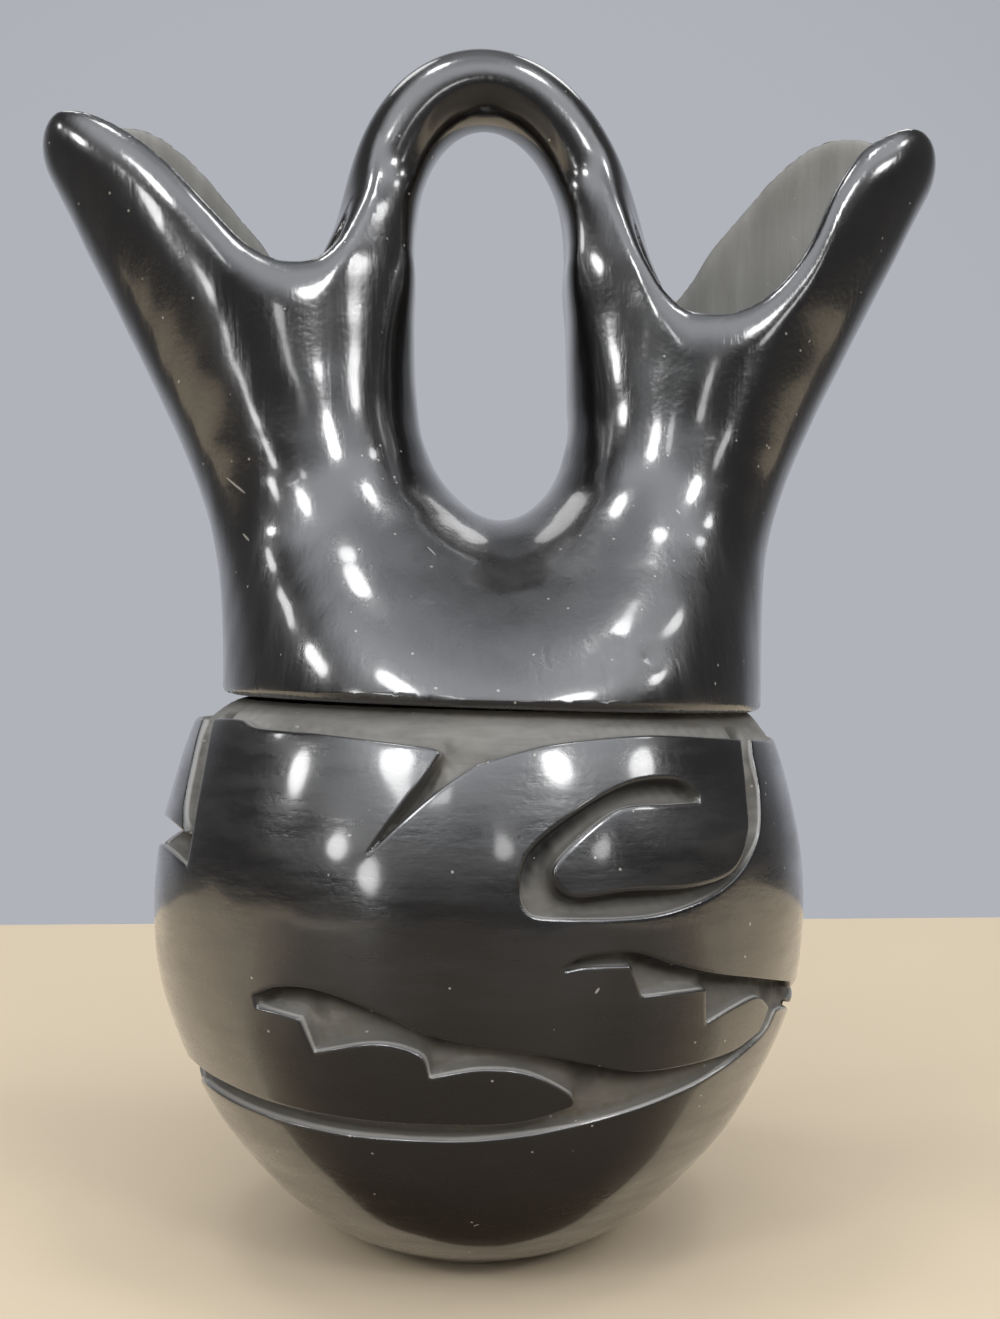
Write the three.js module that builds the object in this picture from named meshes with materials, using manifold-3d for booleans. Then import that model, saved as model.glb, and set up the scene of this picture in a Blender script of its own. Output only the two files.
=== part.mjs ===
// A carved and burnished blackware wedding vase: a round pot on a small flat foot, a carved
// band round its belly, and a collar that parts into two open spouts under one arched handle.
// Millimetres, +Z up, front towards -Y, origin at the middle of the foot.
import * as THREE from 'three';
import { mergeVertices } from 'three/addons/utils/BufferGeometryUtils.js';
import Module from 'manifold-3d';

const wasm = await Module();
wasm.setup();

// Pot: a round bowl that leans a little to the right, as it was built by hand.
const FOOT_RADIUS = 18.5;
const BELLY_RADIUS = 63.6;
const BELLY_HEIGHT = 66;
const LEDGE_RADIUS = 54.8;
const LEDGE_HEIGHT = 105.3;
const POT_LEAN_DEGREES = 2;
const POT_WALL = 7;

// Carved band: how deep the ground lies under the burnished skin, and how far its middle is off
// the pot's own axis, which makes the carving deeper on the left.
const CARVE_DEPTH = 3.1;
const GROUND_OFFSET = 1;

// Collar and spouts: half widths are taken from the axis that runs up between the spouts.
const COLLAR_RADIUS = 52.8;
const COLLAR_OFFSET = 4.8;
const FLARE_START = 139.5;
const FLARE_SOFTNESS = 8;
const LEFT_FLARE = 0.498;
const RIGHT_FLARE = 0.521;
const SPOUT_WALL = 5;
const CROTCH_BLEND = 12;
const SPOUT_JOINT_HEIGHT = 128;

// Handle: a round bar bent to an arch over the finger hole.
const HANDLE_SPAN = 44.6;
const HANDLE_RISE = 33.7;
const HANDLE_SPRING_HEIGHT = 193.5;
const HANDLE_THICKNESS = 15.4;
const HANDLE_DEPTH = 18;
const HANDLE_OFFSET = -0.35;
const HANDLE_JOINT_HEIGHT = 209.5;
const LEG_LENGTH = 23;
const LEG_SPREAD = 0.25;

// The handle's legs end this far above the rims, inside the spouts.
const RIM_OVERRUN = 2;

// Pieces meet with a hairline between them.
const JOINT_GAP = 0.3;

// The carving is drawn on a front elevation, as it looks from this far off and this high, with
// the pot's axis this far right of the drawing's middle and turned by this much.
const VIEW_DISTANCE = 300;
const VIEW_HEIGHT = 113.5;
const VIEW_OFFSET = -6.4;
const VIEW_TURN_DEGREES = -2.5;

// The pot on that drawing.
const DRAWN_POT = { footRadius: 18.5, bellyRadius: 63.6, bellyHeight: 66, ledgeRadius: 54.8, ledgeHeight: 105.3 };

// Sizes of the facets.
const SKIN_STEP = 5.6;
const HOLLOW_STEP = 7.5;
const TURN_STEPS = 44;
const RIM_COLUMNS = 66;
const RIM_ROWS = 6;
const ARCH_STEPS = 22;
const BAR_SIDES = 14;

// The space that the spouts are shaped in: half its width, half its depth, and its top.
const FIELD_REACH = 108;
const FIELD_DEPTH = 62;
const FIELD_TOP = 232;

// The spouts' walls lean, so a level distance to them is this much longer than a true one.
const WALL_COSINE = 0.93;

const DEGREE = Math.PI / 180;
const LEAN = POT_LEAN_DEGREES * DEGREE;

// Stations up the spouts: height, inner edge of a spout from the axis, and half depth.
const HOLE_HALF_WIDTH = 15.4;
const SPOUT_HALF_DEPTH = 24;
const COLLAR_HALF_DEPTH = 52;
const HOLE_FOOT_HEIGHT = 145.5;
const innerEdge = stations([
  [HOLE_FOOT_HEIGHT - 48, HOLE_HALF_WIDTH - 57],
  [HOLE_FOOT_HEIGHT - 28, HOLE_HALF_WIDTH - 39],
  [HOLE_FOOT_HEIGHT - 18, HOLE_HALF_WIDTH - 28.4],
  [HOLE_FOOT_HEIGHT - 10, HOLE_HALF_WIDTH - 20.4],
  [HOLE_FOOT_HEIGHT - 5, HOLE_HALF_WIDTH - 13.1],
  [HOLE_FOOT_HEIGHT, HOLE_HALF_WIDTH - 7],
  [HOLE_FOOT_HEIGHT + 5, HOLE_HALF_WIDTH - 3.4],
  [HOLE_FOOT_HEIGHT + 11, HOLE_HALF_WIDTH - 1.4],
  [HOLE_FOOT_HEIGHT + 21, HOLE_HALF_WIDTH - 0.4],
  [HOLE_FOOT_HEIGHT + 33, HOLE_HALF_WIDTH],
  [HOLE_FOOT_HEIGHT + 47, HOLE_HALF_WIDTH],
  [HOLE_FOOT_HEIGHT + 57, HOLE_HALF_WIDTH + 3.1],
  [HOLE_FOOT_HEIGHT + 65, HOLE_HALF_WIDTH + 9.6],
  [HOLE_FOOT_HEIGHT + 82, HOLE_HALF_WIDTH + 22.6],
]);
const halfDepth = stations([
  [100.5, COLLAR_HALF_DEPTH],
  [108.5, COLLAR_HALF_DEPTH - 1.5],
  [116.5, COLLAR_HALF_DEPTH - 5.6],
  [123.5, COLLAR_HALF_DEPTH - 11],
  [130.5, SPOUT_HALF_DEPTH + 10.8],
  [137.5, SPOUT_HALF_DEPTH + 5.4],
  [145.5, SPOUT_HALF_DEPTH + 1.9],
  [154.5, SPOUT_HALF_DEPTH + 0.5],
  [167.5, SPOUT_HALF_DEPTH],
  [192, SPOUT_HALF_DEPTH],
  [206, SPOUT_HALF_DEPTH - 1.6],
  [216, SPOUT_HALF_DEPTH - 4],
  [228, SPOUT_HALF_DEPTH - 8.5],
]);

// Heights of the rims against the distance from the axis. Each dips beside the handle and rises
// to the tip of its spout.
const frontRimLeft = stations([
  [15, 234.5], [20, 220.5], [24, 206.5], [28, 197.5], [32, 191.5], [38, 189.1], [46, 192], [53, 199],
  [60, 206.5], [66, 211.8], [75, 217.3], [80, 219], [84, 219.3], [88, 216.5], [92, 210.5], [96, 201.5],
]);
const frontRimRight = stations([
  [15, 227.5], [20, 214.5], [24, 203.5], [28, 192.5], [31.5, 185.5], [35, 181.5], [39.5, 180.1],
  [45.5, 180.5], [51, 183.5], [59, 193], [65, 205.3], [70, 212], [75, 215.5], [80, 217.8], [84, 218],
  [88, 215.5], [92, 209.5], [96, 200.5],
]);
const backRim = stations([
  [15, 234.5], [20, 220.5], [25, 205.5], [30, 195.5], [36, 189.5], [42, 194], [48, 203], [54, 210],
  [61, 218], [70, 224.5], [79, 224.8], [85, 221.5], [90, 215.5], [96, 205.5],
]);
const RIM_TWIST_DEPTH = 36;

function stations(points) {
  const slopes = points.map((point, i) => {
    const before = points[Math.max(i - 1, 0)];
    const after = points[Math.min(i + 1, points.length - 1)];
    const left = i === 0 ? null : (point[1] - before[1]) / (point[0] - before[0]);
    const right = i === points.length - 1 ? null : (after[1] - point[1]) / (after[0] - point[0]);
    if (left === null) return right;
    if (right === null) return left;
    const span = after[0] - before[0];
    return (left * (after[0] - point[0]) + right * (point[0] - before[0])) / span;
  });
  return (at) => {
    let i = 0;
    while (i < points.length - 2 && at > points[i + 1][0]) i += 1;
    const step = points[i + 1][0] - points[i][0];
    const t = (at - points[i][0]) / step;
    if (t < 0) return points[i][1] + t * step * slopes[i];
    if (t > 1) return points[i + 1][1] + (t - 1) * step * slopes[i + 1];
    return points[i][1] * (1 + 2 * t) * (1 - t) ** 2 + step * slopes[i] * t * (1 - t) ** 2
      + points[i + 1][1] * t * t * (3 - 2 * t) + step * slopes[i + 1] * t * t * (t - 1);
  };
}

function blendedMin(a, b, width) {
  const overlap = Math.max(width - Math.abs(a - b), 0) / width;
  return Math.min(a, b) - overlap * overlap * width / 4;
}

// Distance, near enough, to an ellipse of half axes a and b, negative inside.
function ellipseDistance(x, y, a, b) {
  const ratio = Math.hypot(x / a, y / b);
  if (ratio < 0.05) return -Math.min(a, b);
  const slope = Math.hypot(x / (a * a), y / (b * b)) / ratio;
  return (ratio - 1) / slope;
}

function spoutField(across, y, z, side) {
  const flare = side < 0 ? LEFT_FLARE : RIGHT_FLARE;
  const climb = FLARE_SOFTNESS * Math.log1p(Math.exp((z - FLARE_START) / FLARE_SOFTNESS));
  const outer = COLLAR_RADIUS + flare * climb;
  const inner = innerEdge(z);
  const middle = (outer + inner) / 2;
  return ellipseDistance(side * across - middle, y, (outer - inner) / 2, halfDepth(z)) * WALL_COSINE;
}

// The outside of both spouts and of the collar that they part from.
function skinField(x, y, z) {
  const across = x - COLLAR_OFFSET;
  return blendedMin(spoutField(across, y, z, -1), spoutField(across, y, z, 1), CROTCH_BLEND);
}

function rimHeight(across, y) {
  const front = across < 0 ? frontRimLeft : frontRimRight;
  const share = Math.min(Math.max(y / RIM_TWIST_DEPTH + 0.5, 0), 1);
  const turn = share * share * (3 - 2 * share);
  return front(Math.abs(across)) * (1 - turn) + backRim(Math.abs(across)) * turn;
}

// Wraps a closed skin of four-sided facets round the inside of a field. One corner lies in each
// cell that the skin crosses, and is then drawn onto the skin.
function wrapField(field, low, high, step) {
  const count = low.map((value, axis) => Math.ceil((high[axis] - value) / step) + 1);
  const at = (axis, i) => low[axis] + i * step;
  const value = new Float64Array(count[0] * count[1] * count[2]);
  const index = (i, j, k) => (i * count[1] + j) * count[2] + k;
  for (let i = 0; i < count[0]; i += 1) {
    for (let j = 0; j < count[1]; j += 1) {
      for (let k = 0; k < count[2]; k += 1) {
        const rim = i === 0 || j === 0 || k === 0 || i === count[0] - 1 || j === count[1] - 1 || k === count[2] - 1;
        const here = field(at(0, i), at(1, j), at(2, k));
        value[index(i, j, k)] = rim ? Math.max(here, step / 4) : here;
      }
    }
  }
  fillPinches(value, count, index, step);
  const corners = [0, 1, 2, 3, 4, 5, 6, 7].map((n) => [n & 1, (n >> 1) & 1, (n >> 2) & 1]);
  const edges = [];
  corners.forEach((a) => corners.forEach((b) => {
    const apart = Math.abs(a[0] - b[0]) + Math.abs(a[1] - b[1]) + Math.abs(a[2] - b[2]);
    if (apart === 1 && a[0] <= b[0] && a[1] <= b[1] && a[2] <= b[2]) edges.push([a, b]);
  }));
  const cell = new Map();
  const places = [];
  for (let i = 0; i < count[0] - 1; i += 1) {
    for (let j = 0; j < count[1] - 1; j += 1) {
      for (let k = 0; k < count[2] - 1; k += 1) {
        const sum = new THREE.Vector3();
        let crossings = 0;
        edges.forEach(([a, b]) => {
          const from = value[index(i + a[0], j + a[1], k + a[2])];
          const to = value[index(i + b[0], j + b[1], k + b[2])];
          if ((from < 0) === (to < 0)) return;
          const t = from / (from - to);
          sum.add(new THREE.Vector3(...a).lerp(new THREE.Vector3(...b), t));
          crossings += 1;
        });
        if (!crossings) continue;
        sum.divideScalar(crossings);
        cell.set(index(i, j, k), places.length);
        places.push(new THREE.Vector3(at(0, i + sum.x), at(1, j + sum.y), at(2, k + sum.z)));
      }
    }
  }
  const inside = (p) => p.every((v, axis) => v > low[axis] + step * 1.1 && v < high[axis] - step * 1.1);
  places.filter((p) => inside(p.toArray())).forEach((p) => {
    const start = p.clone();
    drawOnto(field, p, 4);
    limitMove(start, p, step * 0.6);
  });
  const faces = [];
  const along = [[1, 0, 0], [0, 1, 0], [0, 0, 1]];
  for (let i = 0; i < count[0] - 1; i += 1) {
    for (let j = 0; j < count[1] - 1; j += 1) {
      for (let k = 0; k < count[2] - 1; k += 1) {
        along.forEach((d, axis) => {
          const here = value[index(i, j, k)] < 0;
          const next = value[index(i + d[0], j + d[1], k + d[2])] < 0;
          if (here === next) return;
          const u = along[(axis + 1) % 3];
          const v = along[(axis + 2) % 3];
          const pick = (a, b) => cell.get(index(i - a * u[0] - b * v[0], j - a * u[1] - b * v[1], k - a * u[2] - b * v[2]));
          const ring = [pick(1, 1), pick(0, 1), pick(0, 0), pick(1, 0)];
          if (!here) ring.reverse();
          const [p, q, r, s] = ring.map((n) => places[n]);
          if (p.distanceTo(r) < q.distanceTo(s)) {
            faces.push(ring[0], ring[1], ring[2], ring[0], ring[2], ring[3]);
          } else {
            faces.push(ring[1], ring[2], ring[3], ring[1], ring[3], ring[0]);
          }
        });
      }
    }
  }
  const geometry = new THREE.BufferGeometry();
  geometry.setAttribute('position', new THREE.Float32BufferAttribute(places.flatMap((p) => p.toArray()), 3));
  geometry.setIndex(faces);
  return geometry;
}

// Where the inside meets itself only across a corner, one more sample is taken in, so that the
// skin never touches itself.
function fillPinches(value, count, index, step) {
  const planes = [[[1, 0, 0], [0, 1, 0]], [[0, 1, 0], [0, 0, 1]], [[0, 0, 1], [1, 0, 0]]];
  for (let pass = 0; pass < 3; pass += 1) {
    for (let i = 1; i < count[0] - 2; i += 1) {
      for (let j = 1; j < count[1] - 2; j += 1) {
        for (let k = 1; k < count[2] - 2; k += 1) {
          planes.forEach(([u, v]) => {
            const at = (a, b) => index(i + a * u[0] + b * v[0], j + a * u[1] + b * v[1], k + a * u[2] + b * v[2]);
            const [p, q, r, s] = [at(0, 0), at(1, 0), at(1, 1), at(0, 1)];
            const crossed = (value[p] < 0) === (value[r] < 0) && (value[q] < 0) === (value[s] < 0)
              && (value[p] < 0) !== (value[q] < 0);
            if (!crossed) return;
            const [a, b] = value[p] < 0 ? [q, s] : [p, r];
            value[value[a] < value[b] ? a : b] = -step / 50;
          });
        }
      }
    }
  }
}

function drawOnto(field, p, rounds) {
  const probe = 0.05;
  for (let round = 0; round < rounds; round += 1) {
    const here = field(p.x, p.y, p.z);
    const slope = new THREE.Vector3(
      field(p.x + probe, p.y, p.z) - field(p.x - probe, p.y, p.z),
      field(p.x, p.y + probe, p.z) - field(p.x, p.y - probe, p.z),
      field(p.x, p.y, p.z + probe) - field(p.x, p.y, p.z - probe),
    ).divideScalar(2 * probe);
    if (slope.lengthSq() < 0.01) return;
    p.addScaledVector(slope, -here / slope.lengthSq());
  }
}

function limitMove(start, p, most) {
  const move = p.clone().sub(start);
  if (move.length() > most) p.copy(start).addScaledVector(move.normalize(), most);
}

// Turns a closed geometry into a solid that can be cut.
function solid(geometry) {
  geometry.deleteAttribute('normal');
  geometry.deleteAttribute('uv');
  const merged = mergeVertices(geometry, 1e-4);
  const index = merged.index.array;
  const faces = [];
  for (let i = 0; i < index.length; i += 3) {
    const [a, b, c] = [index[i], index[i + 1], index[i + 2]];
    if (a !== b && b !== c && c !== a) faces.push(a, b, c);
  }
  return new wasm.Manifold(new wasm.Mesh({
    numProp: 3,
    vertProperties: Float32Array.from(merged.attributes.position.array),
    triVerts: Uint32Array.from(faces),
  }));
}

// A turned solid round the pot's leaning axis, with its facets starting at the angle given.
function turned(profile, start = 0, offset = 0) {
  const geometry = new THREE.LatheGeometry(profile, TURN_STEPS, start);
  geometry.rotateX(Math.PI / 2);
  geometry.translate(offset, 0, 0);
  geometry.rotateY(LEAN);
  return solid(geometry);
}

// Half of space, as a large block under the height given, across the pot's axis when it leans.
const BLOCK = 600;
function below(height, lean = 0) {
  const geometry = new THREE.BoxGeometry(BLOCK, BLOCK, BLOCK);
  geometry.translate(0, 0, height - BLOCK / 2);
  geometry.rotateY(lean);
  return solid(geometry);
}

// Half of space to the left of the plane between the spouts.
function leftOf(across) {
  const geometry = new THREE.BoxGeometry(BLOCK, BLOCK, BLOCK);
  geometry.translate(COLLAR_OFFSET + across - BLOCK / 2, 0, 0);
  return solid(geometry);
}

// A pot's side: radius against height, on its own axis.
function potSide({ footRadius, bellyRadius, bellyHeight, ledgeRadius, ledgeHeight }) {
  return stations([
    [0, footRadius],
    [5, footRadius + 10.5],
    [10, footRadius + 17.5],
    [20, bellyRadius - 17.8],
    [38, bellyRadius - 6.6],
    [bellyHeight - 13, bellyRadius - 1.3],
    [bellyHeight, bellyRadius],
    [bellyHeight + 14, bellyRadius - 1.1],
    [ledgeHeight - 14.3, ledgeRadius + 5.1],
    [ledgeHeight - 7.3, ledgeRadius + 2.9],
    [ledgeHeight, ledgeRadius],
  ]);
}

const side = potSide({
  footRadius: FOOT_RADIUS,
  bellyRadius: BELLY_RADIUS,
  bellyHeight: BELLY_HEIGHT,
  ledgeRadius: LEDGE_RADIUS,
  ledgeHeight: LEDGE_HEIGHT,
});
const drawnSide = potSide(DRAWN_POT);
const SIDE_HEIGHTS = [0, 4, 10, 18, 28, 40, 54, 68, 82, 94, LEDGE_HEIGHT];

function sideProfile(inset, top) {
  const points = SIDE_HEIGHTS.filter((height) => height < top - 1).concat(top).map((height) => {
    const tangent = new THREE.Vector2(side(height + 0.5) - side(height - 0.5), 1).normalize();
    return new THREE.Vector2(side(height) - inset * tangent.y, height + inset * tangent.x);
  });
  points[points.length - 1].y = top;
  return points;
}

// Carries a point of the front elevation to its bearing from the front, in degrees, and its
// height on the pot's own axis. The heights stretch with the pot.
function wrapPoint([across, up]) {
  const eye = new THREE.Vector3(-VIEW_OFFSET, -VIEW_DISTANCE, VIEW_HEIGHT);
  const point = new THREE.Vector3();
  let depth = -DRAWN_POT.bellyRadius;
  for (let round = 0; round < 30; round += 1) {
    const share = (VIEW_DISTANCE + depth) / VIEW_DISTANCE;
    point.set(eye.x + (across - eye.x) * share, depth, eye.z + (up - eye.z) * share);
    point.applyAxisAngle(new THREE.Vector3(0, 1, 0), -LEAN);
    const radius = drawnSide(Math.min(Math.max(point.z, 0), DRAWN_POT.ledgeHeight));
    depth = -Math.sqrt(Math.max(radius * radius - point.x * point.x, 0));
  }
  const stretch = LEDGE_HEIGHT / DRAWN_POT.ledgeHeight;
  return [Math.atan2(point.x, -depth) / DEGREE + VIEW_TURN_DEGREES, point.z * stretch];
}

// A smooth line through the points of each stretch, with a corner between stretches.
function drawn(stretches, steps = 1) {
  const line = [];
  stretches.forEach((stretch) => {
    const curve = new THREE.SplineCurve(stretch.map((point) => new THREE.Vector2(...point)));
    const points = stretch.length > 2 ? curve.getPoints((stretch.length - 1) * steps) : curve.points;
    points.forEach((point) => {
      const last = line[line.length - 1];
      if (!last || Math.hypot(last[0] - point.x, last[1] - point.y) > 0.05) line.push([point.x, point.y]);
    });
  });
  return line;
}

const INNER_REACH = 30;
const OUTER_REACH = 300;
function radialPoint([bearing, height], reach) {
  const angle = bearing * DEGREE;
  return new THREE.Vector3(reach * Math.sin(angle), -reach * Math.cos(angle), height)
    .applyAxisAngle(new THREE.Vector3(0, 1, 0), LEAN);
}

// Leaves out doubled points and points in the middle of a straight run.
function withoutStraightPoints(points) {
  const kept = [...points];
  for (let i = 0; i < kept.length;) {
    const before = kept[(i + kept.length - 1) % kept.length];
    const after = kept[(i + 1) % kept.length];
    const turn = kept[i].clone().sub(before).cross(after.clone().sub(kept[i]));
    if (Math.abs(turn) < 0.01 || kept[i].distanceTo(after) < 0.05) {
      kept.splice(i, 1);
      i = Math.max(i - 1, 0);
    } else {
      i += 1;
    }
  }
  return kept;
}

// A cutter with the outline given by bearings and heights, running straight out from the axis.
function radialCutter(outline) {
  const flat = withoutStraightPoints(outline.map((point) => new THREE.Vector2(...point)));
  if (THREE.ShapeUtils.isClockWise(flat)) flat.reverse();
  const caps = THREE.ShapeUtils.triangulateShape(flat, []);
  const ordered = flat.map((point) => point.toArray());
  const places = [...ordered.map((point) => radialPoint(point, INNER_REACH)),
    ...ordered.map((point) => radialPoint(point, OUTER_REACH))];
  const n = ordered.length;
  const faces = [];
  caps.forEach(([a, b, c]) => faces.push(n + a, n + b, n + c, a, c, b));
  ordered.forEach((point, i) => {
    const j = (i + 1) % n;
    faces.push(i, j, n + j, i, n + j, n + i);
  });
  return closedSolid(places, faces);
}

function closedSolid(places, faces) {
  const geometry = new THREE.BufferGeometry();
  geometry.setAttribute('position', new THREE.Float32BufferAttribute(places.flatMap((p) => p.toArray()), 3));
  geometry.setIndex(faces);
  return solid(geometry);
}

// A cutter all round the pot between two lines of heights, each given by a function of bearing.
function ringCutter(bearings, lower, upper, reach = OUTER_REACH) {
  const rings = [[INNER_REACH, lower], [reach, lower], [reach, upper], [INNER_REACH, upper]];
  const places = [];
  bearings.forEach((bearing) => rings.forEach(([radius, height]) => {
    places.push(radialPoint([bearing, height(bearing)], radius));
  }));
  const faces = [];
  bearings.forEach((bearing, i) => {
    const j = (i + 1) % bearings.length;
    for (let side = 0; side < 4; side += 1) {
      const next = (side + 1) % 4;
      const [a, b, c, d] = [4 * i + side, 4 * i + next, 4 * j + next, 4 * j + side];
      faces.push(a, d, c, a, c, b);
    }
  });
  return closedSolid(places, faces);
}

// Height against bearing for a line drawn on the front. The back is its mirror image.
function heightLine(points) {
  const wrapped = drawn(points, 3).map(wrapPoint).sort((a, b) => a[0] - b[0]);
  return (bearing) => {
    const turned = ((bearing + 180) % 360 + 360) % 360 - 180;
    const front = Math.abs(turned) <= 90 ? turned : Math.sign(turned) * 180 - turned;
    let i = 0;
    while (i < wrapped.length - 2 && front > wrapped[i + 1][0]) i += 1;
    const span = Math.max(wrapped[i + 1][0] - wrapped[i][0], 0.01);
    const t = Math.min(Math.max((front - wrapped[i][0]) / span, 0), 1);
    return wrapped[i][1] + t * (wrapped[i + 1][1] - wrapped[i][1]);
  };
}

// Outlines that run past the edge of the elevation go on a little round the side, where they
// meet their mirror image from the back.
const SIDE_OVERLAP = 1.5;
function frontAndBack(stretches) {
  const edge = 89 + VIEW_TURN_DEGREES;
  const front = drawn(stretches).map(wrapPoint)
    .map(([bearing, height]) => [Math.abs(bearing) > edge ? Math.sign(bearing) * (90 + SIDE_OVERLAP) : bearing, height]);
  const back = front.map(([bearing, height]) => [180 - bearing, height]);
  return radialCutter(front).add(radialCutter(back));
}

// The carved ground under the ledge ends on this line, the tops of the raised panels.
const panelTops = heightLine([
  [[-54.4, 101.8], [-46.2, 101.6], [-42.2, 99.8], [-30.4, 98.7], [-15.2, 96.8], [-6.8, 95.6], [-5.4, 94.4]],
  [[-5.4, 94.4], [1.8, 92.4]],
  [[1.8, 92.4], [10.4, 95], [18.4, 96.7], [34.6, 98.3], [49.6, 97.8], [60.6, 97.2]],
]);

// A gouge that runs down between two raised panels to a point.
const GOUGE = [
  [[-5, 95.6], [-8.8, 89.8], [-12.8, 84.6], [-20.2, 74.6]],
  [[-20.2, 74.6], [-12.8, 81.6], [-5.8, 87.4], [1.8, 92.4], [6.4, 94.4]],
];

// The hook, a channel that curls from the ledge round a raised eye to a point.
const HOOK = [
  [[56.8, 100], [57, 95], [58.6, 86], [58.1, 77.4], [53.8, 69.9], [46.8, 65.1], [35.6, 61.9], [18.4, 61.4], [12.1, 62.5],
    [10.4, 67.8], [12.6, 75.2], [21.7, 82.8], [32.4, 88.6], [42, 89.5], [46.4, 86.2]],
  [[46.4, 84.9], [39.9, 84.4], [30.8, 83.6], [22.8, 78], [17.1, 71], [21.2, 65.9], [32.4, 67], [45.2, 67.8],
    [53.3, 71], [56.2, 78.4], [56, 86], [54.6, 100]],
];

// A channel down the left side that turns under the side panel.
const SIDE_CHANNEL = [
  [[-50.5, 103.5], [-51.8, 98.6], [-53.9, 86.8], [-56.5, 72.2]],
  [[-56.5, 72.2], [-62, 76.9], [-64, 77]],
  [[-64, 83], [-60.9, 82.2], [-56.8, 78.7]],
  [[-56.8, 78.7], [-56.8, 85.1], [-54.5, 96.8], [-52.5, 103.5]],
];

// The stepped cut on the right, which runs round the side.
const RIGHT_STEPS = [
  [[19.2, 51.4], [23.8, 53.8], [33.5, 54.6], [41, 52.5], [49.5, 50.5], [58.6, 49.5], [64.4, 48.9]],
  [[64.4, 43.5], [60.5, 43.8]],
  [[60.5, 43.8], [58.1, 45.8], [53.3, 43.6], [47.9, 40.4]],
  [[47.9, 40.4], [47.9, 47.4]],
  [[47.9, 47.4], [35, 45.8]],
  [[35, 45.8], [32.9, 52]],
  [[32.9, 52], [23.8, 51.7], [19.5, 50.9]],
];

// The stepped cut on the left, which opens into the groove.
const LEFT_STEPS = [
  [[-43, 46], [-38.6, 47.7], [-30.4, 47], [-18.6, 42.6], [-7, 37.6], [6.4, 35.2], [22.8, 32.4]],
  [[22.8, 32.4], [22.8, 22.5]],
  [[21.2, 22.5], [20.6, 26], [12, 30.2], [2.4, 31], [-7.8, 29.4]],
  [[-7.8, 29.4], [-9.8, 34], [-18.6, 36.3], [-31, 34.6]],
  [[-31, 34.6], [-34, 41.4]],
  [[-34, 41.4], [-42.4, 43.7]],
];

// The groove round the pot, above the bowl that it stands in.
const grooveTop = heightLine([
  [[-59.8, 39.4], [-53.8, 31.8], [-41, 25.2], [-24.6, 21.4], [-7, 20], [10, 20.4], [22, 24]],
  [[22, 24], [22.7, 32.5]],
  [[22.7, 32.5], [33.4, 30.7], [43.2, 31.8], [52.8, 34.8], [58.6, 39]],
  [[58.6, 39], [60.6, 44.2], [61.5, 48.9]],
]);
const bowlRim = heightLine([
  [[-59.6, 37.6], [-53.8, 29.4], [-43.3, 23], [-27.4, 18.6], [-9.8, 16.8], [6.4, 17.2], [26.4, 21],
    [45.2, 28], [58.2, 37.2], [61.8, 43]],
]);

const RING_STEPS = 45;
const BEARINGS = Array.from({ length: RING_STEPS }, (_, i) => (i + 0.3) * 360 / RING_STEPS - 180);
const STEP_BEARING = wrapPoint([22.35, 28.2])[0];
const GROOVE_BEARINGS = [...BEARINGS, STEP_BEARING, 180 - STEP_BEARING].sort((a, b) => a - b);

// Outside, rim and inside in one profile, cut flat under the foot.
function makePot() {
  const top = LEDGE_HEIGHT - JOINT_GAP;
  const outside = sideProfile(0, top);
  const inside = sideProfile(POT_WALL, top).filter((point) => point.y > POT_WALL + 1).reverse();
  const profile = [new THREE.Vector2(0, -2), ...outside, ...inside,
    new THREE.Vector2(FOOT_RADIUS - 2, POT_WALL), new THREE.Vector2(0, POT_WALL)];
  return turned(profile).subtract(below(0));
}

function makeGround() {
  const profile = sideProfile(CARVE_DEPTH, LEDGE_HEIGHT).filter((point) => point.y > 5);
  const base = new THREE.Vector2(0, profile[0].y);
  const halfStep = Math.PI / TURN_STEPS;
  return turned([base, ...profile, new THREE.Vector2(profile[profile.length - 1].x, LEDGE_HEIGHT + 20),
    new THREE.Vector2(0, LEDGE_HEIGHT + 20)], halfStep, GROUND_OFFSET);
}

function makeCarving() {
  const cuts = [
    ringCutter(BEARINGS, panelTops, () => LEDGE_HEIGHT + 10),
    ringCutter(GROOVE_BEARINGS, () => 5, grooveTop),
    frontAndBack(GOUGE),
    frontAndBack(HOOK),
    frontAndBack(SIDE_CHANNEL),
    frontAndBack(RIGHT_STEPS),
    frontAndBack(LEFT_STEPS),
  ];
  return cuts.reduce((whole, cut) => whole.add(cut)).subtract(makeGround());
}

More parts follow.
